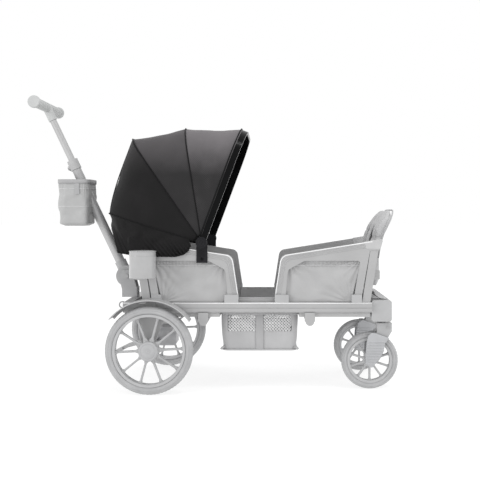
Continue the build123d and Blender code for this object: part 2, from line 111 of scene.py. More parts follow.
def maths(tree, operation, a, b=None):
    node = add(tree, "ShaderNodeMath", operation=operation)
    for index, value in enumerate((a, b)):
        if value is None:
            continue
        if isinstance(value, (int, float)):
            node.inputs[index].default_value = value
        else:
            tree.links.new(value, node.inputs[index])
    return node.outputs[0]


def object_coordinates(tree):
    return add(tree, "ShaderNodeTexCoord").outputs["Object"]


def noise_height(tree, scale, detail=4.0, stretch=None):
    place = object_coordinates(tree)
    if stretch:
        mapping = add(tree, "ShaderNodeMapping")
        mapping.inputs["Scale"].default_value = stretch
        tree.links.new(place, mapping.inputs["Vector"])
        place = mapping.outputs[0]
    node = add(tree, "ShaderNodeTexNoise", Scale=scale, Detail=detail)
    tree.links.new(place, node.inputs["Vector"])
    return node.outputs["Fac"]


def weave_height(tree, pitch):
    """Over-and-under threads, from 0 to 1, at one pitch in metres."""
    parts = add(tree, "ShaderNodeSeparateXYZ")
    tree.links.new(object_coordinates(tree), parts.inputs[0])
    turn = 2 * math.pi / pitch
    across = maths(tree, "ADD", parts.outputs["X"], maths(tree, "MULTIPLY", parts.outputs["Y"], 0.31))
    along = maths(tree, "ADD", parts.outputs["Z"], maths(tree, "MULTIPLY", parts.outputs["Y"], 0.95))
    first = maths(tree, "SINE", maths(tree, "MULTIPLY", across, turn))
    second = maths(tree, "SINE", maths(tree, "MULTIPLY", along, turn))
    return maths(tree, "ADD", maths(tree, "MULTIPLY", maths(tree, "MULTIPLY", first, second), 0.5), 0.5)


def tint(tree, bsdf, factor, dark, light, low_stop=0.3, high_stop=0.7):
    """Base colour that runs from dark to light with factor."""
    ramp = add(tree, "ShaderNodeValToRGB")
    ramp.color_ramp.elements[0].position = low_stop
    ramp.color_ramp.elements[1].position = high_stop
    ramp.color_ramp.elements[0].color = (*dark, 1)
    ramp.color_ramp.elements[1].color = (*light, 1)
    tree.links.new(factor, ramp.inputs[0])
    tree.links.new(ramp.outputs[0], bsdf.inputs["Base Color"])


def relief(tree, bsdf, height, strength, distance):
    bump = add(tree, "ShaderNodeBump", Strength=strength, Distance=distance)
    tree.links.new(height, bump.inputs["Height"])
    tree.links.new(bump.outputs[0], bsdf.inputs["Normal"])


def rough_range(tree, bsdf, factor, smooth, rough):
    node = add(tree, "ShaderNodeMapRange")
    node.inputs["To Min"].default_value = smooth
    node.inputs["To Max"].default_value = rough
    tree.links.new(factor, node.inputs["Value"])
    tree.links.new(node.outputs[0], bsdf.inputs["Roughness"])


def shade(colour, factor):
    return tuple(channel * factor for channel in colour)


def fabric(name, colour, pitch=0.0012, sheen=0.12, roughness=0.85, spread=0.1):
    """Woven cloth: threads in the relief, and slow and fine changes of colour."""
    made, tree, bsdf = base_material(name, colour, roughness, Sheen_Weight=sheen, Sheen_Roughness=0.45,
                                     Specular_IOR_Level=0.25)
    threads = weave_height(tree, pitch)
    cloud = noise_height(tree, 14.0, 5.0)
    mixed = maths(tree, "ADD", maths(tree, "MULTIPLY", threads, 0.35), maths(tree, "MULTIPLY", cloud, 0.65))
    tint(tree, bsdf, mixed, shade(colour, 1 - spread), shade(colour, 1 + spread))
    relief(tree, bsdf, mixed, 0.22, pitch * 0.25)
    rough_range(tree, bsdf, cloud, roughness - 0.08, min(1.0, roughness + 0.06))
    return made


def canopy_cloth_painted_light(name, dark, light):
    """Woven canopy cloth in a warm charcoal, with painted light: lighter towards the top."""
    made, tree, bsdf = base_material(name, (dark, dark, dark), 0.7, Sheen_Weight=0.06, Sheen_Roughness=0.4,
                                     Specular_IOR_Level=0.12)
    threads = weave_height(tree, 0.0075)
    cloud = noise_height(tree, 11.0, 5.0)
    parts = add(tree, "ShaderNodeSeparateXYZ")
    tree.links.new(object_coordinates(tree), parts.inputs[0])
    # Painted light: the base colour runs lighter with height, as if lit from above.
    height = add(tree, "ShaderNodeMapRange")
    height.inputs["From Min"].default_value = 0.76
    height.inputs["From Max"].default_value = 0.93
    tree.links.new(parts.outputs["Z"], height.inputs["Value"])
    weave = maths(tree, "MULTIPLY", threads, 0.12)
    drift = maths(tree, "MULTIPLY", maths(tree, "SUBTRACT", cloud, 0.5), 0.5)
    mixed = maths(tree, "ADD", maths(tree, "ADD", height.outputs[0], weave), drift)
    tint(tree, bsdf, mixed, (dark, dark * 0.97, dark), (light, light * 0.94, light * 0.98), 0.05, 1.1)
    relief(tree, bsdf, threads, 0.35, 0.0007)
    rough_range(tree, bsdf, cloud, 0.6, 0.8)
    return made


def moulded(name, colour, roughness=0.48, grain=900.0, coat=0.0, spread=0.05):
    """Moulded plastic with a fine spark grain and faint handling marks."""
    made, tree, bsdf = base_material(name, colour, roughness, Coat_Weight=coat, Coat_Roughness=0.08)
    fine = noise_height(tree, grain, 2.0)
    slow = noise_height(tree, 22.0, 5.0)
    tint(tree, bsdf, slow, shade(colour, 1 - spread), shade(colour, 1 + spread))
    relief(tree, bsdf, fine, 0.18, 0.0002)
    rough_range(tree, bsdf, slow, roughness - 0.07, roughness + 0.1)
    return made


def painted(name, colour, roughness=0.36, metallic=0.25):
    """Powder coat over metal: orange peel, with slow changes of tone and roughness."""
    made, tree, bsdf = base_material(name, colour, roughness, Metallic=metallic, Coat_Weight=0.2,
                                     Coat_Roughness=0.22)
    peel = noise_height(tree, 420.0, 3.0)
    slow = noise_height(tree, 9.0, 5.0)
    tint(tree, bsdf, slow, shade(colour, 0.95), shade(colour, 1.05))
    relief(tree, bsdf, peel, 0.14, 0.0002)
    rough_range(tree, bsdf, slow, roughness - 0.06, roughness + 0.08)
    return made


def brushed(name, colour, stretch, roughness=0.32):
    """Drawn metal, its lines running along the shortest stretch."""
    made, tree, bsdf = base_material(name, colour, roughness, Metallic=0.9)
    lines = noise_height(tree, 60.0, 4.0, stretch)
    tint(tree, bsdf, lines, shade(colour, 0.88), shade(colour, 1.08))
    relief(tree, bsdf, lines, 0.15, 0.0002)
    rough_range(tree, bsdf, lines, roughness - 0.08, roughness + 0.12)
    return made


def tyre_rubber(name, colour):
    made, tree, bsdf = base_material(name, colour, 0.78, Specular_IOR_Level=0.3)
    dust = noise_height(tree, 30.0, 6.0)
    fine = noise_height(tree, 1200.0, 2.0)
    tint(tree, bsdf, dust, shade(colour, 0.92), shade(colour, 1.06))
    relief(tree, bsdf, fine, 0.25, 0.0003)
    rough_range(tree, bsdf, dust, 0.68, 0.88)
    return made


PALE = (0.405, 0.407, 0.411)
M = {
    "frame_paint": painted("frame_paint", (0.396, 0.396, 0.398)),
    "handle_paint": painted("handle_paint", (0.464, 0.464, 0.467)),
    "tube_aluminium": painted("tube_aluminium", (0.447, 0.447, 0.449), 0.45, 0.25),
    "deck_board": moulded("deck_board", (0.413, 0.413, 0.415), 0.6, 500.0),
    "grey_plastic": moulded("grey_plastic", PALE),
    "axle_steel": brushed("axle_steel", (0.45, 0.45, 0.46), (1, 0.05, 1)),
    "fender_plastic": moulded("fender_plastic", (0.430, 0.430, 0.434), 0.42),
    "grey_fabric": fabric("grey_fabric", (0.413, 0.413, 0.415)),
    "seat_fabric": fabric("seat_fabric", (0.464, 0.464, 0.468), 0.0016),
    "well_fabric": fabric("well_fabric", (0.447, 0.447, 0.452), 0.0014),
    "bag_fabric": fabric("bag_fabric", (0.430, 0.432, 0.432), 0.0014),
    "cup_plastic": moulded("cup_plastic", (0.378, 0.378, 0.381), 0.2, 700.0, 0.7),
    "pin_steel": painted("pin_steel", (0.396, 0.396, 0.398)),
    "collar_plastic": moulded("collar_plastic", (0.464, 0.464, 0.467)),
    "button_plastic": moulded("button_plastic", (0.36, 0.36, 0.363)),
    "grip_rubber": moulded("grip_rubber", (0.482, 0.490, 0.488), 0.65, 700.0),
    "bracket_plastic": moulded("bracket_plastic", (0.017, 0.017, 0.019), 0.5, 700.0, spread=0.15),
    "wire_steel": moulded("wire_steel", (0.008, 0.008, 0.009), 0.4),
    "bow_plastic": moulded("bow_plastic", (0.006, 0.006, 0.007), 0.4),
    "front_bow_gloss": moulded("front_bow_gloss", (0.0022, 0.0022, 0.0025), 0.2, 700.0, spread=0.2),
    # The darkest copy of the canopy cloth, painted shade, for the back gore and skirt.
    "canopy_fabric": canopy_cloth_painted_light("canopy_fabric", 0.0105, 0.04),
    "board_plastic": moulded("board_plastic", (0.40, 0.40, 0.40)),
    "tyre": tyre_rubber("tyre", (0.404, 0.406, 0.411)),
    "rim_plastic": moulded("rim_plastic", (0.421, 0.423, 0.428), 0.4),
    "hub_plastic": moulded("hub_plastic", (0.404, 0.406, 0.413), 0.42),
    "cover_plastic": moulded("cover_plastic", (0.413, 0.418, 0.430), 0.5),
}
for dark in ("bracket_plastic", "wire_steel", "bow_plastic", "front_bow_gloss"):
    M[dark].node_tree.nodes["Principled BSDF"].inputs["Specular IOR Level"].default_value = 0.1
# Lit and shaded copies of one canopy cloth: painted light makes the front gore lightest and the middle gore
# lighter than the back gore.
FRONT_GORE_PAINTED_LIT = canopy_cloth_painted_light("canopy_fabric_front", 0.026, 0.17)
MIDDLE_GORE_PAINTED_LIT = canopy_cloth_painted_light("canopy_fabric_middle", 0.024, 0.095)
# Painted highlight: a near-white paint for the bright lines along the rail and side frame edges.
PAINTED_HIGHLIGHT = painted("trim_highlight", (0.82, 0.82, 0.825), 0.3)
THREAD = fabric("thread", (0.6, 0.6, 0.605), 0.0006)
BLACK_PIPING = fabric("black_piping", (0.003, 0.003, 0.0033), 0.0009, 0.02)
WEBBING = fabric("webbing", (0.396, 0.396, 0.401), 0.0022)
NET = moulded("net_yarn", (0.9, 0.9, 0.905), 0.7)


# ------------------------------------------------------------------ mesh tools
def piece(name, points, faces, slot, body, material=None, smooth=True):
    """A mesh object from points and faces, riding on a body."""
    mesh = bpy.data.meshes.new(name)
    mesh.from_pydata([tuple(p) for p in points], [], faces)
    mesh.validate()
    shape = bpy.data.objects.new(name, mesh)
    bpy.context.scene.collection.objects.link(shape)
    mesh.materials.append(material or M[slot])
    work = bmesh.new()
    work.from_mesh(mesh)
    bmesh.ops.recalc_face_normals(work, faces=work.faces)
    work.to_mesh(mesh)
    work.free()
    if smooth:
        mesh.polygons.foreach_set("use_smooth", [True] * len(mesh.polygons))
    if body:
        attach(shape, body)
    return shape


def grid_faces(rows, columns, wrap_rows=False, wrap_columns=False):
    faces = []
    for i in range(rows if wrap_rows else rows - 1):
        for j in range(columns if wrap_columns else columns - 1):
            a, b = i * columns, ((i + 1) % rows) * columns
            k = (j + 1) % columns
            faces.append((a + j, a + k, b + k, b + j))
    return faces


def surface(name, place, rows, columns, slot, body, wrap=False, **more):
    """A sheet whose point at (u, v) is place(u, v); v wraps round if wrap is true."""
    points = []
    for i in range(rows):
        for j in range(columns):
            points.append(place(i / (rows - 1), j / (columns if wrap else columns - 1)))
    return piece(name, points, grid_faces(rows, columns, wrap_columns=wrap), slot, body, **more)


def thicken(shape, depth, inward=-1.0):
    made = shape.modifiers.new("thickness", "SOLIDIFY")
    made.thickness = depth
    made.offset = inward
    return shape


def soften(shape, width, segments=2):
    made = shape.modifiers.new("edges", "BEVEL")
    made.width = width
    made.segments = segments
    made.limit_method = "ANGLE"
    made.angle_limit = math.radians(40)
    made.harden_normals = False
    return shape


def subdivide(shape, levels=1):
    made = shape.modifiers.new("subdivision", "SUBSURF")
    made.levels = made.render_levels = levels
    return shape


def sweep(name, path, section, slot, body, closed=False, up=(0, 0, 1), **more):
    """A section of (side, up) offsets carried along a path of points."""
    path = [Vector(p) for p in path]
    count = len(path)
    points = []
    for i, here in enumerate(path):
        before = path[(i - 1) % count] if closed or i else here
        after = path[(i + 1) % count] if closed or i < count - 1 else here
        along = (after - before).normalized()
        side = along.cross(Vector(up))
        side = side.normalized() if side.length > 1e-5 else along.orthogonal().normalized()
        rise = side.cross(along).normalized()
        points += [here + side * a + rise * b for a, b in section]
    faces = grid_faces(count, len(section), wrap_rows=closed, wrap_columns=True)
    if not closed:
        last = (count - 1) * len(section)
        faces.append(tuple(range(len(section))))
        faces.append(tuple(last + k for k in range(len(section))))
    return piece(name, points, faces, slot, body, **more)


def turns(steps):
    """Evenly spaced angles, once round."""
    return [2 * math.pi * k / steps for k in range(steps)]


def squared(value, power):
    """A sine or cosine drawn towards the corners of a rounded square."""
    return math.copysign(abs(value) ** power, value)


def round_section(radius, sides=10, flat=1.0):
    return [(radius * math.cos(t), radius * flat * math.sin(t)) for t in turns(sides)]


def strap_section(width, depth):
    return [(-width / 2, -depth / 2), (width / 2, -depth / 2), (width / 2, depth / 2), (-width / 2, depth / 2)]


def lathe(name, profile, centre, slot, body, steps=96, ripple=None, **more):
    """A closed profile of (radius, y) turned about an axis along y through centre."""
    points = []
    for i in range(steps):
        turn = 2 * math.pi * i / steps
        for k, (radius, y) in enumerate(profile):
            r = radius + (ripple(turn, radius, y) if ripple else 0)
            points.append((centre[0] + r * math.sin(turn), centre[1] + y, centre[2] + r * math.cos(turn)))
    faces = grid_faces(steps, len(profile), wrap_rows=True, wrap_columns=True)
    return piece(name, points, faces, slot, body, **more)


def ruck(p, size, depth, seed=0.0):
    """A smooth, fixed unevenness at a point."""
    return depth * noise.noise(Vector(p) / size + Vector((seed, seed * 1.7, -seed)))


def ease(a, b, x):
    t = min(1.0, max(0.0, (x - a) / (b - a)))
    return t * t * (3 - 2 * t)


# ------------------------------------------------------------------ CAD nodes that stay
def finish_cad_nodes():
    """A procedural material on every CAD node, and soft edges on each whose slot has an edge width listed."""
    slots = {row["node"]: row["material_slot"] for row in frame["record"]["subparts"]}
    edge = {"frame_paint": 0.003, "deck_board": 0.002, "grey_plastic": 0.0022, "cup_plastic": 0.0015,
            "rim_plastic": 0.0016, "front_bow_gloss": 0.0045, "bracket_plastic": 0.0018,
            "fender_plastic": 0.001, "hub_plastic": 0.003, "collar_plastic": 0.002}
    for name, shape in nodes.items():
        slot = slots[name]
        shape.data.materials.clear()
        shape.data.materials.append(M[slot])
        if slot in edge:
            soften(shape, edge[slot], 3 if slot == "front_bow_gloss" else 2)


# ------------------------------------------------------------------ wheels
def tyre(end, side, body):
    """A tyre with a rounded shoulder, three grooves and fine cross cuts in its tread."""
    node = f"{end}_tyre_{side}"
    a, b = Vector(low(node)), Vector(high(node))
    centre, radius, half = (a + b) / 2, (b.z - a.z) / 2, (b.y - a.y) / 2
    inner = high(f"{end}_rim_{side}")[2] - centre.z
    shoulder = half * 0.62
    profile = []
    for k in range(25):
        y = half * math.sin(math.pi * (k / 24 - 0.5))
        crown = math.sqrt(max(0.0, 1 - (abs(y) / half) ** 2.6))
        height = inner + 0.006 + (radius - inner - 0.006) * crown ** 0.8
        profile.append((height, y))
    profile += [(inner, half * 0.72), (inner, 0), (inner, -half * 0.72)]
    cuts = 72 if end == "rear" else 56

    def tread(turn, r, y):
        if r < radius - 0.009 or abs(y) > shoulder + 0.004:
            return 0
        groove = 0.0016 if min(abs(abs(y) - shoulder * 0.55), abs(y)) < half * 0.05 else 0
        cross = 0.0012 if (turn * cuts / (2 * math.pi) + abs(y) / half * 0.8) % 1 < 0.34 else 0
        return -max(groove, cross if abs(y) > shoulder * 0.2 else 0)

    shape = lathe(f"{node}_tread", profile, centre, "tyre", body, cuts * 6, tread)
    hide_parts(node)
    for way in (-1, 1):
        line = [(centre.x + (inner + 0.013) * math.sin(t), centre.y + way * half * 0.965,
                 centre.z + (inner + 0.013) * math.cos(t)) for t in turns(72)]
        sweep(f"{node}_bead_{'outer' if way > 0 else 'inner'}", line, round_section(0.0011, 6), "tyre", body,
              True, (0, 1, 0))


def spokes(end, side, body):
    """Each spoke's flared, rounded casing, wide where it meets the hub and the rim."""
    node = f"{end}_rim_{side}"
    a, b = Vector(low(node)), Vector(high(node))
    centre, outer = (a + b) / 2, (b.z - a.z) / 2 - 0.0085
    hub, first = (0.033, 3) if end == "rear" else (0.0175, 18)
    rows, section = 17, 12
    points, faces = [], []
    for k in range(10):
        turn = math.radians(first + k * 36)
        along = Vector((math.cos(turn), 0, math.sin(turn)))
        across = Vector((-along.z, 0, along.x))
        start = len(points)
        for i in range(rows):
            t = i / (rows - 1)
            width = 0.0037 + 0.0062 * (1 - ease(0.0, 0.2, t)) + 0.0045 * ease(0.86, 1.0, t)
            depth = 0.0072 + 0.003 * (1 - ease(0.0, 0.4, t))
            here = centre + along * (hub + (outer - hub) * t)
            for angle in turns(section):
                c, n = math.cos(angle), math.sin(angle)
                points.append(here + across * width * squared(c, 0.7) + Vector((0, depth * squared(n, 0.7), 0)))
        faces += [tuple(start + index for index in face)
                  for face in grid_faces(rows, section, wrap_columns=True)]
    piece(f"{node}_spokes", points, faces, "rim_plastic", body)


def rear_hub_cap(side, sign):
    """A stepped, dished cap with three rings."""
    node = f"rear_hub_cap_{side}"
    a, b = Vector(low(node)), Vector(high(node))
    centre, radius = (a + b) / 2, (b.z - a.z) / 2
    half = (b.y - a.y) / 2
    outline = [(0.0, -0.98), (0.9, -0.98), (1.0, -0.8), (1.0, 0.1), (0.95, 0.5), (0.86, 0.72), (0.8, 0.76),
               (0.77, 0.66), (0.72, 0.66), (0.68, 0.86), (0.45, 0.97), (0.3, 0.98), (0.26, 0.86), (0.2, 0.86),
               (0.16, 0.98), (0.0, 1.0)]
    profile = [(max(r * radius, 0.0002), sign * y * half) for r, y in outline]
    shape = lathe(f"{node}_stepped", profile, centre, "hub_plastic", f"rear_wheel_{side}", 72)
    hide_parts(node)


def caster_covers(side, sign):
    """The two tapered fork covers, each crossed by raised ribs."""
    node = f"caster_covers_{side}"
    a, b = Vector(low(node)), Vector(high(node))
    fork_reach = high(f"caster_fork_{side}")[1]
    leg = min(b.y - fork_reach, 0.011) if b.y > fork_reach else 0.011
    width, height = b.x - a.x, b.z - a.z
    rear = [(0.0, 0.23), (0.08, 0.02), (0.3, 0.0), (0.7, 0.05), (0.92, 0.12), (1.0, 0.26)]

    def edge(table, v):
        return np.interp(v, [p[0] for p in table], [p[1] for p in table])

    front = [(0.0, 0.3), (0.1, 0.42), (0.31, 0.66), (0.47, 0.78), (0.68, 0.82), (0.85, 1.0), (1.0, 0.42)]
    for tag, way in (("outer", sign), ("inner", -sign)):
        wall = b.y if way > 0 else a.y

        def place(u, v, wall=wall, way=way):
            around = 2 * math.pi * v
            x0, x1 = edge(rear, u), edge(front, u)
            x = (x0 + x1) / 2 + (x1 - x0) / 2 * squared(math.cos(around), 0.55)
            depth = leg / 2 * squared(math.sin(around), 0.6)
            rib = 0.0026 * max(0.0, math.sin(2 * math.pi * u * 12.5))
            rib *= ease(0.02, 0.1, u) * (1 - ease(0.76, 0.82, u))
            rib *= 1 if math.sin(around) > 0.05 else 0
            return (a.x + x * width, wall - way * (leg / 2) + way * (depth + rib - 0.0006), a.z + u * height)

        shell = surface(f"{node}_{tag}", place, 92, 40, "cover_plastic", f"caster_{side}", True)
        cap_rows(shell, 40, 0, 91)
        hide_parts(node)


def cap_rows(shape, columns, *rows):
    """Closes a wrapped surface across the rows given."""
    work = bmesh.new()
    work.from_mesh(shape.data)
    work.verts.ensure_lookup_table()
    for row in rows:
        work.faces.new([work.verts[row * columns + k] for k in range(columns)])
    bmesh.ops.recalc_face_normals(work, faces=work.faces)
    work.to_mesh(shape.data)
    work.free()


def wheels():
    for side, sign in SIDES:
        for end in ("rear", "front"):
            tyre(end, side, f"{end}_wheel_{side}")
            spokes(end, side, f"{end}_wheel_{side}")
        rear_hub_cap(side, sign)
        caster_covers(side, sign)


# ------------------------------------------------------------------ canopy
ARCH_CORNER = 0.12
GORE_FOOT = 0.026
BLEND_REACH = 0.16
CLOTH = 0.0016
BACK_BULGE = 0.012
SKIRT_CLEAR = 0.0065


def bow(node):
    """A bow's angle from upright, its reach from the hub and its half width, read off the CAD mesh."""
    points = np.array([v.co for v in nodes[node].data.vertices])
    offset = points[:, [0, 2]] - np.array([HUB.x, HUB.z])
    reach = np.hypot(offset[:, 0], offset[:, 1])
    mean = offset[reach > 0.95 * reach.max()].mean(axis=0)
    return {"angle": math.atan2(mean[0], mean[1]), "reach": reach.max(),
            "half": np.abs(points[:, 1]).max()}


def arch_point(made, s, proud=0.0, aside=0.0, foot=GORE_FOOT):
    """A point on a bow's arch, s from 0 at the right foot to 1 at the left foot."""
    half, top, corner = made["half"] + proud, made["reach"] + proud, ARCH_CORNER
    leg, across, bend = top - corner - foot, 2 * (half - corner), math.pi / 2 * corner
    run = s * (2 * leg + 2 * bend + across)
    mirrored = run > leg + bend + across / 2
    if mirrored:
        run = 2 * leg + 2 * bend + across - run
    if run < leg:
        y, r = -half, foot + run
    elif run < leg + bend:
        turn = (run - leg) / corner
        y, r = -half + corner * (1 - math.cos(turn)), top - corner + corner * math.sin(turn)
    else:
        y, r = -half + corner + (run - leg - bend), top
    y = -y if mirrored else y
    angle = made["angle"]
    return Vector((HUB.x + r * math.sin(angle) + aside * math.cos(angle), y,
                   HUB.z + r * math.cos(angle) - aside * math.sin(angle)))


def blend_between(shape, a, b, first, second):
    """Works out a point on each of two bows at one reach from the hub, and bakes the cloth's transform into its
    mesh.
    """
    start, end = (HUB + Vector((math.sin(made["angle"]), 0, math.cos(made["angle"]))) * BLEND_REACH
                  for made in (a, b))
    tuple(start)
    tuple(end)
    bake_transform(shape)


def gore(name, a, b, node, bodies, aside, bulge, ribs, cloth):
    """One gore of the canopy, from bow a to bow b, held taut and slightly hollow between them."""
    rows, columns = 41, 161

    def place(u, v):
        start, end = arch_point(a, v, 0.0012), arch_point(b, v, 0.0012, aside)
        p = start.lerp(end, u)
        rise = Vector((p.x - HUB.x, 0, p.z - HUB.z))
        reach = rise.length
        out = rise.normalized() if reach > 1e-6 else Vector((0, 0, 1))
        on_top = ease(0.3, 0.42, v) * (1 - ease(0.58, 0.7, v))
        side = Vector((0, -1 if v < 0.5 else 1, 0))
        normal = (out * on_top + side * (1 - on_top)).normalized()
        hollow = math.sin(math.pi * u) * reach / 0.4
        depth = bulge * math.sin(math.pi * u ** 0.7) * on_top - 0.005 * hollow * (1 - on_top)
        pull = math.sin(math.pi * u) * (ruck(p, 0.07, 0.0035, 3.0) + ruck(p, 0.03, 0.0012, 8.0))
        fine = ribs * math.sin(2 * math.pi * v * 150) * ease(0.08, 0.3, reach) * math.sin(math.pi * u)
        return p + normal * (depth + pull + fine)

    shape = surface(name, place, rows, columns, "canopy_fabric", None, material=cloth)
    thicken(shape, CLOTH)
    blend_between(shape, a, b, *bodies)
    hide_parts(node)
    return shape


def seam(name, made, body, proud=0.0022, aside=0.0, radius=0.0019):
    path = [arch_point(made, k / 120, proud, aside) for k in range(121)]
    return sweep(name, path, round_section(radius, 8), "canopy_fabric", body, up=(1, 0, 0.2),
                 material=BLACK_PIPING)


def back_edge(a, b):
    """A bound seam down each rear corner of the canopy, from the rear bow to the back wire."""
    for side, sign in SIDES:
        for row, v in enumerate((0.385, 0.425)):
            at = v if sign < 0 else 1 - v
            path = []
            for k in range(41):
                u = k / 40
                p = arch_point(a, at, 0.0012).lerp(arch_point(b, at, 0.0012), u)
                out = Vector((p.x - HUB.x, 0, p.z - HUB.z)).normalized()
                on_top = ease(0.3, 0.42, v)
                path.append(p + out * (BACK_BULGE * math.sin(math.pi * u ** 0.7) * on_top + 0.0006))
            shape = sweep(f"canopy_back_seam_{side}_{row}", path, round_section(0.0026, 8, 0.7),
                          "canopy_fabric", None, material=BLACK_PIPING)
            blend_between(shape, a, b, "chassis", "rear_bow")


def skirt_half(x, z):
    """The least half width of the skirt where it drapes over the side frame's rear corner."""
    beyond = max(0.0, low("rear_side_frame_left")[0] - 0.010 - x)
    beyond += max(0.0, z - high("rear_side_frame_left")[2] - 0.006)
    return max(0.0, FRAME_OUTER + SKIRT_CLEAR - 1.6 * beyond)


def hem_point(s, wire):
    """The skirt's gathered lower edge, s from 0 at the right of the hub to 1 at its left."""
    base = low("canopy_skirt")
    span = high("canopy_skirt")[0] - base[0]
    drop = high("canopy_skirt")[2] - base[2]
    shape_x = [1.0, 0.975, 0.915, 0.82, 0.6, 0.3, 0.14, 0.11, 0.105]
    shape_z = [0.27, 0.13, 0.03, -0.02, -0.015, 0.02, 0.08, 0.13, 0.16]
    stop = [0.0, 0.035, 0.075, 0.125, 0.22, 0.32, 0.39, 0.44, 0.5]
    near = min(s, 1 - s)
    x = base[0] + span * np.interp(near, stop, shape_x)
    z = base[2] + drop * np.interp(near, stop, shape_z)
    half = wire["half"] + 0.0005
    turn = ease(0.36, 0.5, near)
    y = -half * (1 - turn ** 2.2)
    return Vector((x, y if s < 0.5 else -y, z))


def skirt(wire):
    """The gathered fabric below the back wire, drawn in at its elastic hem."""
    rows, columns = 44, 401

    def place(u, v):
        top = arch_point(wire, v, 0.0012, 0.0, 0.045)
        hem = hem_point(v, wire)
        p = top.lerp(hem, u)
        near = min(v, 1 - v)
        behind = ease(0.34, 0.46, near)
        p += Vector((-0.014 * math.sin(math.pi * u) * behind, 0, 0))
        side = Vector((0, -1 if v < 0.5 else 1, 0))
        normal = (side * (1 - behind) + Vector((-1, 0, 0)) * behind).normalized()
        corner = math.exp(-((near - 0.09) / 0.05) ** 2)
        gathers = u ** 2.2 * (0.0016 + 0.003 * corner + 0.0022 * behind)
        fold = math.sin(2 * math.pi * v * 44 + 2.6 * math.sin(11 * v) + 2.0 * u) * gathers
        broad = (ruck(p, 0.06, 0.009, 5.0) + ruck(p, 0.025, 0.003, 2.0)) * math.sin(math.pi * min(1.0, u + 0.1))
        p += normal * (fold + broad + 0.001)
        least = skirt_half(p.x, p.z)
        if abs(p.y) < least:
            p.y = math.copysign(least, -1 if v < 0.5 else 1)
        return p

    shape = surface("canopy_skirt_gathered", place, rows, columns, "canopy_fabric", "chassis")
    thicken(shape, CLOTH)
    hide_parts("canopy_skirt")
    hem = [Vector(place(1.0, k / 240)) for k in range(241)]
    sweep("canopy_hem_elastic", hem, round_section(0.0024, 8, 1.5), "canopy_fabric", "chassis",
          material=BLACK_PIPING)


def hub_details():
    """Rings, a screw and pressed ridges on each canopy clamp."""
    for side, sign in SIDES:
        outer = high("canopy_brackets")[1]
        centre = (HUB.x, 0, HUB.z)
        rings = [(0.0002, 0.0), (0.0186, 0.0), (0.0188, 0.0012), (0.0166, 0.0022), (0.0158, 0.0006),
                 (0.0122, 0.0006), (0.0116, 0.0022), (0.0078, 0.0022), (0.007, 0.0004), (0.0038, 0.0004),
                 (0.0034, 0.0016), (0.0002, 0.0016)]
        profile = [(r, sign * (outer - 0.0008 + y)) for r, y in rings]
        lathe(f"canopy_hub_rings_{side}", profile, centre, "bracket_plastic", "chassis", 48)
        plate = FRAME_OUTER + 0.005
        foot = low("canopy_brackets")[2]
        head = [(0.0002, 0.0), (0.0056, 0.0), (0.006, 0.0008), (0.005, 0.0026), (0.003, 0.0028),
                (0.0026, 0.001), (0.0002, 0.001)]
        lathe(f"canopy_screw_{side}", [(r, sign * (plate + y)) for r, y in head],
              (HUB.x, 0, foot + 0.0135), "wire_steel", "chassis", 32)
        for row in range(4):
            z = foot + 0.024 + row * 0.0062
            bar = [(HUB.x - 0.0108, sign * (plate + 0.0001), z), (HUB.x + 0.0108, sign * (plate + 0.0001), z)]
            sweep(f"canopy_clamp_ridge_{side}_{row}", bar, round_section(0.0014, 8), "bracket_plastic",
                  "chassis")


def canopy():
    back, rear = bow("canopy_back_wire"), bow("canopy_rear_bow")
    mid, front = bow("canopy_mid_bow"), bow("canopy_front_bow")
    gore("canopy_gore_front", mid, front, "canopy_front_gore", ("mid_bow", "front_bow"), -0.009, -0.006, 0.0002,
         FRONT_GORE_PAINTED_LIT)
    gore("canopy_gore_middle", rear, mid, "canopy_mid_gore", ("rear_bow", "mid_bow"), 0.0, -0.005, 0.0,
         MIDDLE_GORE_PAINTED_LIT)
    gore("canopy_gore_back", back, rear, "canopy_rear_gore", ("chassis", "rear_bow"), 0.0, BACK_BULGE, 0.0,
         M["canopy_fabric"])
    back_edge(back, rear)
    seam("canopy_seam_middle", mid, "mid_bow")
    seam("canopy_seam_rear", rear, "rear_bow")
    seam("canopy_seam_back", back, "chassis", radius=0.0022)
    seam("canopy_seam_front", front, "front_bow", 0.0016, -0.0135, 0.0024)
    skirt(back)
    hub_details()


# ------------------------------------------------------------------ fabric on the frame
def side_panel(end, sign_x, side, sign_y):
    """Cloth in one side frame, gathered along its top and drawn towards its corners."""
    tag = f"{end}_{side}"
    top = RAIL_TOP + 0.152
    middle = (FRAME_INNER + FRAME_OUTER) / 2
    near, far = 0.1005, 0.334
    corners = [(near + 0.012, top - 0.004), (far + 0.034, top), (far - 0.004, RAIL_TOP + 0.002)]

    def place(u, v):
        z = RAIL_TOP + 0.0006 + (top - RAIL_TOP) * v
        x = (near + 0.010 * v) * (1 - u) + (far + 0.036 * v) * u
        depth = 0.0
        for k, (cx, cz) in enumerate(corners):
            dx, dz = x - cx, z - cz
            reach = math.hypot(dx, dz)
            fan = math.atan2(dz, dx) + ruck((x, z, sign_x), 0.06, 0.14, k)
            strength = (0.0036, 0.0026, 0.0018)[k]
            depth += strength * math.sin(fan * (13 + 4 * k)) * math.exp(-reach / 0.1) * ease(0, 0.03, reach)
        depth += 0.0018 * math.sin(2 * math.pi * x / 0.0125 + 2 * math.sin(x * 40)) * ease(0.72, 1.0, v)
        depth += ruck((x, sign_x + sign_y, z), 0.07, 0.006, 2.0) * math.sin(math.pi * min(1, v + 0.1))
        inset = 0.002 * math.sin(math.pi * u) * math.sin(math.pi * v)
        return (MIDDLE + sign_x * x, sign_y * (middle - inset + depth), z)

    cloth = surface(f"side_cloth_{tag}", place, 91, 61, "grey_fabric", "chassis")
    thicken(cloth, 0.0022, 0.0)
    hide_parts("side_panels")
    outer = sign_y * (middle + 0.0036) - sign_y * 0.0002
    line = [Vector((p[0], outer, p[2])) for p in (place(u / 60, 0.86) for u in range(61))]
    sweep(f"side_cloth_seam_{tag}", line, round_section(0.0012, 6), "grey_fabric", "chassis", material=THREAD)


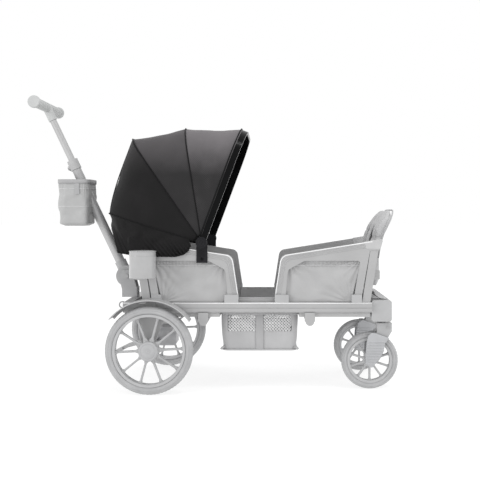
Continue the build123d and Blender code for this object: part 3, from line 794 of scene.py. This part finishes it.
def inset_line(inset, steps=10):
    """The side frame's outer edge, from its inner foot to its far end, drawn in by an inset."""
    foot, corner, end = Vector((0.065, 0.340)), Vector((0.086, 0.477)), Vector((0.443, 0.5335))
    rise, run = (corner - foot).normalized(), (end - corner).normalized()
    a = foot + Vector((rise.y, -rise.x)) * inset
    b = corner + Vector((run.y, -run.x)) * inset
    turn = rise.cross(run)
    meet = a + rise * ((b - a).cross(run) / turn)
    start, stop = meet - rise * 0.024, meet + run * 0.024
    bend = []
    for k in range(steps + 1):
        t = k / steps
        bend.append(start * (1 - t) ** 2 + meet * 2 * t * (1 - t) + stop * t * t)
    last = meet + run * (end - corner).length * 0.9
    return [a.lerp(start, k / 12) for k in range(12)] + bend + [stop.lerp(last, k / 24) for k in range(1, 25)]


def ridge(end, sign_x, side, sign_y):
    """A bright edge of painted highlight and the raised beads that run round the outer face of a side frame."""
    # The first row is a painted highlight, a bright line at the frame's outer edge.
    rows = ((0.0016, 0.0019, PAINTED_HIGHLIGHT), (0.0075, 0.0011, None), (0.0135, 0.0011, None), (0.0195, 0.0009, None))
    for row, (inset, radius, made) in enumerate(rows):
        line = [Vector((MIDDLE + sign_x * p.x, sign_y * (FRAME_OUTER + 0.0001), p.y)) for p in inset_line(inset)]
        sweep(f"side_frame_bead_{end}_{side}_{row}", line, round_section(radius, 8), "frame_paint", "chassis",
              up=(0, 1, 0), material=made)


def end_cap(end, sign_x, side, sign_y):
    """A lighter moulded cap closing the high end of a side frame's top."""
    outline = [(0.386, 0.5005), (0.4315, 0.499), (0.4375, 0.5035), (0.4445, 0.529), (0.4415, 0.5345),
               (0.436, 0.5347), (0.383, 0.5262), (0.3805, 0.522), (0.3825, 0.504)]
    inner, outer = FRAME_INNER - 0.0006, FRAME_OUTER + 0.0014
    centre = Vector((sum(p[0] for p in outline), sum(p[1] for p in outline))) / len(outline)
    points = []
    for y, size in ((inner, 0.98), (inner + 0.001, 1.0), (outer - 0.002, 1.0), (outer, 0.93)):
        for px, pz in outline:
            x, z = centre.x + (px - centre.x) * size, centre.y + (pz - centre.y) * size
            points.append((MIDDLE + sign_x * x, sign_y * y, z))
    count = len(outline)
    faces = grid_faces(4, count, wrap_columns=True)
    faces += [tuple(range(count)), tuple(3 * count + k for k in range(count))]
    cap = piece(f"side_frame_cap_{end}_{side}", points, faces, "collar_plastic", "chassis", smooth=False)
    soften(cap, 0.0016)


def rail_highlight_line():
    """A painted highlight: a bright line along the top outer edge of each rail."""
    a, b = low("side_rails"), high("side_rails")
    for side, sign in SIDES:
        y = sign * (b[1] - 0.0018)
        line = [(a[0] + 0.002, y, b[2] - 0.0018), ((a[0] + b[0]) / 2, y, b[2] - 0.0018),
                (b[0] - 0.002, y, b[2] - 0.0018)]
        sweep(f"rail_highlight_line_{side}", line, round_section(0.0022, 8), "frame_paint", "chassis", material=PAINTED_HIGHLIGHT)


def foot_well():
    """A sewn tub with two net windows in each long side, a centre strap and piped lower corners."""
    node = "foot_well"
    a, b = Vector(low(node)), Vector(high(node))
    half = b.y - 0.025 - 0.001
    x_mid, x_half = (a.x + b.x) / 2, (b.x - a.x) / 2
    floor, top = a.z + 0.003, b.z
    corner = 0.026

    def ring(v):
        """A point on the tub's outline in plan, v once round."""
        straight_x, straight_y = 2 * (x_half - corner), 2 * (half - corner)
        bend = math.pi / 2 * corner
        total = 2 * (straight_x + straight_y) + 4 * bend
        run = (v % 1) * total
        legs = [(straight_x, (corner - x_half, -half, 0)), (straight_y, (x_half, corner - half, 0)),
                (straight_x, (x_half - corner, half, 0)), (straight_y, (-x_half, half - corner, 0))]
        for quarter, (length, start) in enumerate(legs):
            turn = quarter * math.pi / 2
            along = Vector((math.cos(turn), math.sin(turn), 0))
            side = Vector((along.y, -along.x, 0))
            start = Vector(start)
            if run <= length:
                return start + along * run, side
            run -= length
            if run <= bend:
                swing = run / corner
                centre = start + along * length - side * corner
                out = Vector((math.sin(turn + swing), -math.cos(turn + swing), 0))
                return centre + out * corner, out
            run -= bend
        return Vector((-(x_half - corner), -half, 0)), Vector((0, -1, 0))

    rows, columns = 33, 200
    points = []
    for i in range(rows):
        u = i / (rows - 1)
        for j in range(columns):
            base, out = ring(j / columns)
            z = top - (top - floor) * u
            taper = 1 - 0.055 * ease(0.25, 1.0, u)
            sag = 0.0035 * math.sin(math.pi * u) * math.cos(3 * math.pi * base.x / x_half)
            p = Vector((x_mid + base.x * taper, base.y * (1 - 0.02 * u), z))
            p += out * (ruck(p, 0.05, 0.0035, 4.0) * math.sin(math.pi * u) - 0.002 - 0.2 * abs(sag))
            points.append(p)
    window_low, window_high, gap_half, reach = floor + 0.068, top - 0.013, 0.014, x_half * 0.8
    faces = []
    for face in grid_faces(rows, columns, wrap_columns=True):
        middle = sum((points[k] for k in face), Vector()) / 4
        dx = abs(middle.x - x_mid)
        in_window = window_low < middle.z < window_high and gap_half < dx < reach and abs(middle.y) > half * 0.93
        if not in_window:
            faces.append(face)
    tub = piece("foot_well_cloth", points, faces, "well_fabric", "chassis")
    thicken(tub, 0.003)
    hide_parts(node)

    def base_place(u, v):
        edge = ring(v)[0]
        crown = 0.002 * math.cos(math.pi * u / 2)
        return (x_mid + edge.x * 0.945 * u, edge.y * 0.98 * u, floor + 0.0005 + crown)

    base = surface("foot_well_base", base_place, 14, 120, "well_fabric", "chassis", True)
    thicken(base, 0.003, 1.0)
    plan = [ring(k / 160)[0] for k in range(160)]
    hoop = [Vector((x_mid + p.x * 0.947, p.y * 0.982, floor + 0.002)) for p in plan]
    sweep("foot_well_piping", hoop, round_section(0.003, 8), "well_fabric", "chassis", True)
    brim = [Vector((x_mid + p.x, p.y, top - 0.006)) for p in plan]
    sweep("foot_well_binding", brim, round_section(0.0034, 8, 1.9), "well_fabric", "chassis", True,
          material=WEBBING)
    for side, sign in SIDES:
        wall = sign * (half - 0.0005)
        strap = [(x_mid, wall, top - 0.004), (x_mid, wall * 0.996, (top + floor) / 2),
                 (x_mid, wall * 0.983, floor + 0.004)]
        sweep(f"foot_well_strap_{side}", strap, strap_section(0.0022, 0.026), "well_fabric", "chassis",
              up=(1, 0, 0), material=WEBBING, smooth=False)
        net(f"foot_well_net_{side}", x_mid, wall * 0.99, gap_half, reach, window_low, window_high)
        for way in (-1, 1):
            ear = [(x_mid + way * x_half * 0.90, wall * 0.975, floor + 0.012),
                   (x_mid + way * x_half * 0.955, wall * 0.985, floor + 0.010),
                   (x_mid + way * x_half * 0.985, wall * 0.985, floor + 0.004)]
            sweep(f"foot_well_ear_{side}_{'front' if way > 0 else 'rear'}", ear, round_section(0.0038, 8),
                  "well_fabric", "chassis")


def net(name, x_mid, y, inner, outer, low_z, high_z):
    """Knotted net in two windows: crossing yarns clipped to each window."""
    points, faces = [], []
    pitch, yarn = 0.0105, 0.0015
    height = high_z - low_z

    def strand(p, q, lift):
        run = (q - p).normalized()
        side = Vector((-run.z, 0, run.x)) * yarn
        first = len(points)
        for end in (p, q):
            for a, b in ((1, 0), (0, 1), (-1, 0), (0, -1)):
                points.append(end + side * a + Vector((0, b * yarn * 0.7 + lift, 0)))
        for k in range(4):
            n = (k + 1) % 4
            faces.append((first + k, first + n, first + 4 + n, first + 4 + k))
        faces.append((first, first + 1, first + 2, first + 3))
        faces.append((first + 4, first + 5, first + 6, first + 7))

    for window in (-1, 1):
        x0, x1 = sorted((x_mid + window * inner, x_mid + window * outer))
        for lean in (1, -1):
            count = int((x1 - x0 + height) / pitch) + 2
            for k in range(-1, count):
                start = x0 - height + k * pitch if lean > 0 else x0 + k * pitch
                xa, za, xb, zb = start, low_z, start + lean * height, high_z
                ta, tb = 0.0, 1.0
                for limit, way in ((x0, 1), (x1, -1)):
                    da, db = way * (xa - limit), way * (xb - limit)
                    if da < 0 and db < 0:
                        ta, tb = 1.0, 0.0
                        break
                    if da < 0:
                        ta = max(ta, -da / (db - da))
                    if db < 0:
                        tb = min(tb, da / (da - db))
                if tb - ta > 0.02:
                    p = Vector((xa + (xb - xa) * ta, y, za + (zb - za) * ta))
                    q = Vector((xa + (xb - xa) * tb, y, za + (zb - za) * tb))
                    strand(p, q, 0.0004 * lean)
    return piece(name, points, faces, "well_fabric", "chassis", material=NET)


def deck_liner():
    """The cloth liner that stands a little above the rails between the two seats."""
    height = 0.014
    for side, sign in SIDES:
        wall = sign * (FRAME_INNER - 0.004)

        def place(u, v, wall=wall):
            x = MIDDLE - 0.071 + 0.142 * u
            z = RAIL_TOP - 0.03 + (0.03 + height) * v
            y = wall + ruck((x, wall, z), 0.03, 0.0018, 6.0)
            return (x, y, z)

        cloth = surface(f"deck_liner_{side}", place, 41, 13, "grey_fabric", "chassis")
        thicken(cloth, 0.003, 0.0)
        edge = [Vector(place(u / 40, 1.0)) for u in range(41)]
        sweep(f"deck_liner_hem_{side}", edge, round_section(0.0024, 8), "grey_fabric", "chassis",
              material=WEBBING)


# ------------------------------------------------------------------ padded pieces
def copy_solid(node, name, index=None):
    """A copy of a CAD node's mesh, or of one of its loose solids counted along x."""
    mesh = nodes[node].data.copy()
    work = bmesh.new()
    work.from_mesh(mesh)
    bmesh.ops.remove_doubles(work, verts=work.verts, dist=1e-5)
    if index is not None:
        groups, seen = [], set()
        for start in work.verts:
            if start in seen:
                continue
            stack, group = [start], []
            seen.add(start)
            while stack:
                vert = stack.pop()
                group.append(vert)
                for link in vert.link_edges:
                    other = link.other_vert(vert)
                    if other not in seen:
                        seen.add(other)
                        stack.append(other)
            groups.append(group)
        groups.sort(key=lambda group: sum(v.co.x for v in group) / len(group))
        chosen = set(groups[index])
        bmesh.ops.delete(work, geom=[v for v in work.verts if v not in chosen], context="VERTS")
    work.to_mesh(mesh)
    work.free()
    mesh.materials.clear()
    mesh.materials.append(M["seat_fabric"])
    shape = bpy.data.objects.new(name, mesh)
    bpy.context.scene.collection.objects.link(shape)
    return shape


def apply_modifiers(shape):
    graph = bpy.context.evaluated_depsgraph_get()
    made = bpy.data.meshes.new_from_object(shape.evaluated_get(graph))
    shape.modifiers.clear()
    shape.data = made


def puff(shape, shrink, cap, voxel=0.006, pressure=4.0):
    """Remeshes a solid, lets cloth pressure fill it out, and keeps each point within cap of its start."""
    remesh = shape.modifiers.new("remesh", "REMESH")
    remesh.mode = "VOXEL"
    remesh.voxel_size = voxel
    apply_modifiers(shape)
    start = np.array([v.co for v in shape.data.vertices])
    normals = np.array([v.normal for v in shape.data.vertices])
    start -= normals * shrink
    shape.data.vertices.foreach_set("co", start.ravel())
    shape.data.update()
    cloth = shape.modifiers.new("cloth", "CLOTH")
    cloth.settings.quality = 4
    cloth.settings.mass = 0.3
    cloth.settings.tension_stiffness = 25
    cloth.settings.compression_stiffness = 25
    cloth.settings.shear_stiffness = 10
    cloth.settings.bending_stiffness = 3
    cloth.settings.use_pressure = True
    cloth.settings.uniform_pressure_force = pressure
    cloth.settings.effector_weights.gravity = 0
    cloth.collision_settings.use_collision = False
    cloth.point_cache.frame_start, cloth.point_cache.frame_end = 1, 20
    for step in range(1, 21):
        bpy.context.scene.frame_set(step)
    apply_modifiers(shape)
    moved = np.array([v.co for v in shape.data.vertices]) - start
    length = np.linalg.norm(moved, axis=1, keepdims=True)
    moved *= np.minimum(1.0, cap / np.maximum(length, 1e-9))
    shape.data.vertices.foreach_set("co", (start + moved).ravel())
    shape.data.update()
    bpy.context.scene.frame_set(1)
    smooth = shape.modifiers.new("smooth", "SMOOTH")
    smooth.factor, smooth.iterations = 0.5, 4
    apply_modifiers(shape)
    return shape


def press_lines(shape, depth, width, distance):
    """Sinks sewn channels into a padded mesh, where distance(point) nears 0."""
    mesh = shape.data
    for vertex in mesh.vertices:
        near = distance(vertex.co)
        if near < width:
            vertex.co -= vertex.normal * depth * (1 - near / width) ** 2
    mesh.update()


def finish_pad(shape, body, slot, fill, *replaced):
    shape.data.polygons.foreach_set("use_smooth", [True] * len(shape.data.polygons))
    subdivide(shape)
    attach(shape, body)
    if replaced:
        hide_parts(*replaced)


def seat_cushions():
    for index, (end, sign) in enumerate((("rear", -1), ("front", 1))):
        shape = puff(copy_solid("seat_cushions", f"{end}_seat_cushion", index), 0.005, 0.008)
        points = np.array([v.co for v in shape.data.vertices])
        middle = (points.min(axis=0) + points.max(axis=0)) / 2
        top = points[:, 2].max()

        def channels(p):
            lanes = min(abs(p.y - offset) for offset in (-0.1, 0.1))
            across = abs(p.x - middle[0])
            return min(lanes, across) if p.z > top - 0.05 else 1.0

        press_lines(shape, 0.006, 0.012, channels)
        finish_pad(shape, "chassis", "seat_fabric", 0.8, "seat_cushions")
        buckle(end, sign, middle, top)


def buckle(end, sign, middle, top):
    """The crotch strap and its buckle, lying on the cushion."""
    front = middle[0] - sign * 0.055
    strap = [(front, 0, top - 0.006), (front - sign * 0.004, 0, top + 0.012), (front - sign * 0.02, 0, top + 0.03),
             (front - sign * 0.04, 0, top + 0.034)]
    sweep(f"{end}_crotch_strap", strap, strap_section(0.03, 0.003), "seat_fabric", "chassis",
          up=(0, 0, 1), material=WEBBING, smooth=False)
    centre = Vector((front - sign * 0.055, 0, top + 0.034))
    profile = [(0.021 * squared(math.cos(t), 0.6), 0.024 * squared(math.sin(t), 0.6)) for t in turns(24)]
    points, faces = [], []
    layers = [(-0.008, 0.88), (-0.0065, 1.0), (0.0065, 1.0), (0.008, 0.88), (0.0082, 0.6), (0.0068, 0.55)]
    for lift, size in layers:
        points += [centre + Vector((a * size, b * size, lift)) for a, b in profile]
    faces = grid_faces(len(layers), 24, wrap_columns=True)
    faces.append(tuple(range(24)))
    faces.append(tuple((len(layers) - 1) * 24 + k for k in range(24)))
    piece(f"{end}_buckle", points, faces, "button_plastic", "chassis")


def crown_drop(p, pivot):
    """How far the top of a seat back falls away towards its rounded upper corners."""
    near_top = ease(0.12, 0.225, p[2] - pivot[2])
    return 0.034 * near_top * (max(0.0, abs(p[1]) - 0.07) / 0.1) ** 2.4


def seat_backs():
    for end, sign in ENDS:
        body, node = f"seat_back_{end}", f"{end}_back_pad"
        shape = puff(copy_solid(node, f"{end}_seat_back"), 0.003, 0.007)
        pivot = joints[f"seat_back_{end}_fold"]["pos_m"]
        for vertex in shape.data.vertices:
            drop = crown_drop(vertex.co, pivot)
            vertex.co.z -= drop
            vertex.co.x -= sign * 0.5 * drop
        shape.data.update()

        def channels(p):
            lanes = min(abs(abs(p.y) - 0.062), abs(abs(p.y) - 0.146))
            rows = min(abs(p.z - (pivot[2] + lift)) for lift in (0.06, 0.13))
            return min(lanes, rows)

        press_lines(shape, 0.0045, 0.010, channels)
        finish_pad(shape, body, "seat_fabric", 0.7, node)
        harness(end, sign, body, pivot)
        back_piping(end, sign, body, pivot)


def harness(end, sign, body, pivot):
    """Two shoulder straps with their padded sleeves on the seat back's front."""
    for side, way in SIDES:
        y = way * 0.055
        run = [(0.014, 0.178), (0.004, 0.158), (-0.006, 0.125), (-0.0135, 0.09), (-0.021, 0.055),
               (-0.028, 0.02), (-0.036, -0.014)]
        front = [(pivot[0] + sign * (x - 0.0015), y, pivot[2] + z) for x, z in run]
        sweep(f"{end}_shoulder_strap_{side}", front, strap_section(0.028, 0.003), "seat_fabric", body,
              up=(1, 0, 0.2), material=WEBBING, smooth=False)
        sleeve = [(px - sign * 0.004, py, pz) for px, py, pz in front[1:5]]
        pad = sweep(f"{end}_shoulder_sleeve_{side}", sleeve,
                    [(0.0265 * math.cos(t), 0.007 * math.sin(t)) for t in np.linspace(0, 2 * math.pi, 17)[:-1]],
                    "seat_fabric", body, up=(1, 0, 0.2))
        subdivide(pad)


def back_piping(end, sign, body, pivot):
    """A cord of piping round the top of each seat back."""
    crown = Vector((pivot[0] + sign * 0.0745, 0, pivot[2] + 0.2295))
    half = high(f"{end}_back_pad")[1] - 0.003
    path = []
    for k in range(61):
        y = half * math.sin(math.pi * (k / 60 - 0.5))
        drop = crown_drop((0, y, crown.z), pivot)
        path.append((crown.x - sign * 0.5 * drop, y, crown.z - drop))
    for way in (-1, 1):
        edge = [(0.063, 0.205), (0.053, 0.184), (0.038, 0.155), (0.026, 0.123), (0.02, 0.098), (0.013, 0.056)]
        side = []
        for x, z in edge:
            drop = crown_drop((0, half, pivot[2] + z), pivot)
            side.append((pivot[0] + sign * (x - 0.5 * drop), way * half, pivot[2] + z - drop))
        path = path + side if way > 0 else side[::-1] + path
    sweep(f"{end}_back_piping", path, round_section(0.0028, 8), "seat_fabric", body, material=WEBBING)


def front_cover():
    """The kick panel's cloth, rolled over its lower edge."""
    a, b = Vector(low("front_cover")), Vector(high("front_cover"))
    profile = [(0.0, 1.0), (0.16, 0.98), (0.3, 0.5), (0.42, 0.36), (0.56, 0.22), (0.8, 0.14), (1.0, 0.1)]
    stops = np.linspace(0, 1, len(profile))

    def place(u, v):
        x = np.interp(u, stops, [p[0] for p in profile])
        z = np.interp(u, stops, [p[1] for p in profile])
        p = Vector((a.x + x * (b.x - a.x), a.y + v * (b.y - a.y), a.z + z * (b.z - a.z)))
        lift = 0.0018 * math.sin(2 * math.pi * v * 17 + 4 * u) * math.sin(math.pi * u)
        return p + Vector((0.6, 0, 0.8)) * (lift + ruck(p, 0.04, 0.003, 9.0) * math.sin(math.pi * u))

    cloth = surface("front_cover_cloth", place, 31, 121, "seat_fabric", "chassis")
    thicken(cloth, 0.004)
    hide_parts("front_cover")


# ------------------------------------------------------------------ organiser bag on the handle
def organiser():
    """A soft, open bag with a lining, a bound rim, two stitch lines and a strap tab down its right face."""
    node = "handle_bag"
    a, b = Vector(low(node)), Vector(high(node))
    centre_x, half_x, half_y = (a.x + b.x) / 2, (b.x - a.x) / 2 - 0.001, b.y - 0.001
    bottom, top = a.z, b.z
    rows, columns = 49, 128

    def outline(u, v, inset):
        """A rounded rectangle in plan at height u, once round as v runs from 0 to 1."""
        turn = 2 * math.pi * v
        size = (0.95 + 0.05 * ease(0.0, 0.8, u)) * (1 - 0.3 * (1 - ease(0.0, 0.07, u)) ** 2)
        c, s = math.cos(turn), math.sin(turn)
        return squared(c, 0.3) * (half_x * size - inset), squared(s, 0.3) * (half_y * size - inset)

    def place(u, v):
        x, y = outline(u, v, 0.0)
        z = bottom + (top - bottom) * u
        p = Vector((centre_x + x, y, z))
        out = Vector((x / half_x, y / half_y, 0)).normalized()
        slack = math.sin(math.pi * min(1.0, u * 1.06))
        folds = 0.0016 * math.sin(2 * math.pi * v * 26 + 3 * math.sin(9 * v)) * ease(0.55, 0.86, u)
        crumple = ruck(p, 0.035, 0.007, 1.0) + ruck(p, 0.015, 0.002, 4.0)
        return p + out * (slack * (crumple - 0.001) + folds * 0.6 - 0.0006)

    def inside(u, v):
        x, y = outline(0.12 + 0.88 * u, v, 0.006)
        return (centre_x + x, y, bottom + (top - bottom) * (0.1 + 0.895 * u))

    shell = surface("organiser_bag", place, rows, columns, "bag_fabric", "handle", True)
    thicken(shell, 0.0024)
    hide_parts(node)
    lining = surface("organiser_lining", inside, 16, columns, "bag_fabric", "handle", True)
    cap_rows(lining, columns, 0)
    cap_rows(shell, columns, 0)
    rim = []
    for k in range(columns):
        x, y = outline(1.0, k / columns, 0.0)
        rim.append(Vector((centre_x + x, y, top - 0.0075)))
    sweep("organiser_rim", rim, [(-0.0026, -0.0078), (0.0026, -0.0078), (0.0032, 0), (0.0026, 0.0074),
                                 (-0.0026, 0.0074), (-0.0032, 0)], "bag_fabric", "handle", True,
          material=WEBBING)
    for row, level in enumerate((0.42, 0.80)):
        line = [Vector(place(level, k / columns)) for k in range(columns)]
        sweep(f"organiser_stitch_{row}", line, round_section(0.0011, 6), "bag_fabric", "handle", True,
              material=THREAD)
    tab_x = a.x + (b.x - a.x) * 0.62
    tab = [(tab_x, -half_y - 0.0005, top - 0.002), (tab_x, -half_y - 0.0012, top - 0.03),
           (tab_x, -half_y + 0.001, top - 0.055)]
    sweep("organiser_tab", tab, strap_section(0.0024, 0.018), "bag_fabric", "handle", up=(1, 0, 0),
          material=WEBBING, smooth=False)


# ------------------------------------------------------------------ small details
def grip_ribs():
    """Fine moulded rings along the hand grip."""
    a, b = Vector(low("handle_grip")), Vector(high("handle_grip"))
    radius = 0.0175
    cap = 0.0225
    centre = Vector((a.x + cap, 0, b.z - cap))
    for k in range(-15, 16):
        y = k * 0.0108
        if abs(y) < 0.02:
            continue
        path = [(centre.x + radius * math.sin(t), y, centre.z + radius * math.cos(t)) for t in turns(36)]
        sweep(f"grip_ring_{k + 13}", path, round_section(0.0006, 6), "grip_rubber", "handle_upper", True,
              (0, 1, 0))


def cup_band():
    """The rolled rim round the top of the cup holder and a step round its side."""
    a, b = Vector(low("cup_holder")), Vector(high("cup_holder"))
    radius = (b.x - a.x) / 2
    centre = Vector(((a.x + b.x) / 2, a.y + radius, 0))
    for row, (z, size, flat) in enumerate(((b.z - 0.002, 0.0016, 1.2), (b.z - 0.017, 0.0011, 1.0))):
        path = [(centre.x + (radius - 0.0002) * math.sin(t), centre.y + (radius - 0.0002) * math.cos(t), z)
                for t in turns(96)]
        sweep(f"cup_band_{row}", path, round_section(size, 8, flat), "cup_plastic", "chassis", True)


# ------------------------------------------------------------------ floor, light and camera
def studio():
    bpy.ops.mesh.primitive_plane_add(size=80, location=(0, 0, -0.0005))
    floor = bpy.context.object
    floor.name = "studio_floor"
    made, tree, bsdf = base_material("studio_floor", (0.34, 0.34, 0.34), 0.95, Emission_Strength=0.74,
                                     Specular_IOR_Level=0.0)
    bsdf.inputs["Emission Color"].default_value = (1, 1, 1, 1)
    tint(tree, bsdf, noise_height(tree, 0.6, 2.0), (0.335, 0.335, 0.335), (0.345, 0.345, 0.345))
    floor.data.materials.append(made)
    world = bpy.data.worlds.new("studio")
    bpy.context.scene.world = world
    world.use_nodes = True
    world.node_tree.nodes["Background"].inputs["Color"].default_value = (1, 1, 1, 1)
    world.node_tree.nodes["Background"].inputs["Strength"].default_value = 1.0
    for name, place, size, power, target in (
            ("shoulder_light", (MIDDLE + 0.86, -1.25, 3.1), 0.4, 14, (MIDDLE - 0.05, -0.25, 0.9)),
            ("left_light", (-3.2, -2.6, 1.5), 1.3, 34, (0.0, -0.2, 0.5)),
            ("right_light", (3.4, -1.8, 1.3), 0.9, 13, (0.0, -0.2, 0.5))):
        lamp = bpy.data.lights.new(name, "AREA")
        lamp.energy, lamp.size = power, size
        holder = bpy.data.objects.new(name, lamp)
        holder.location = place
        holder.rotation_euler = (Vector(target) - Vector(place)).to_track_quat("-Z", "Y").to_euler()
        bpy.context.scene.collection.objects.link(holder)


def camera():
    """Square to the wagon's side, a little in front of its middle and level with the canopy's foot."""
    made = bpy.data.cameras.new("camera")
    made.lens, made.sensor_width = 67.3, 36
    made.shift_x, made.shift_y = -0.0635, -0.0583
    made.dof.use_dof = False
    holder = bpy.data.objects.new("camera", made)
    holder.location = (MIDDLE + 0.0489, -3.4, 0.6306)
    holder.rotation_euler = (math.pi / 2, 0, 0)
    bpy.context.scene.collection.objects.link(holder)
    bpy.context.scene.camera = holder
    bpy.context.scene.view_settings.view_transform = "Standard"


finish_cad_nodes()
wheels()
canopy()
for end, sign_x in ENDS:
    for side, sign_y in SIDES:
        side_panel(end, sign_x, side, sign_y)
        ridge(end, sign_x, side, sign_y)
        end_cap(end, sign_x, side, sign_y)
rail_highlight_line()
foot_well()
deck_liner()
front_cover()
seat_cushions()
seat_backs()
organiser()
grip_ribs()
cup_band()
studio()
camera()
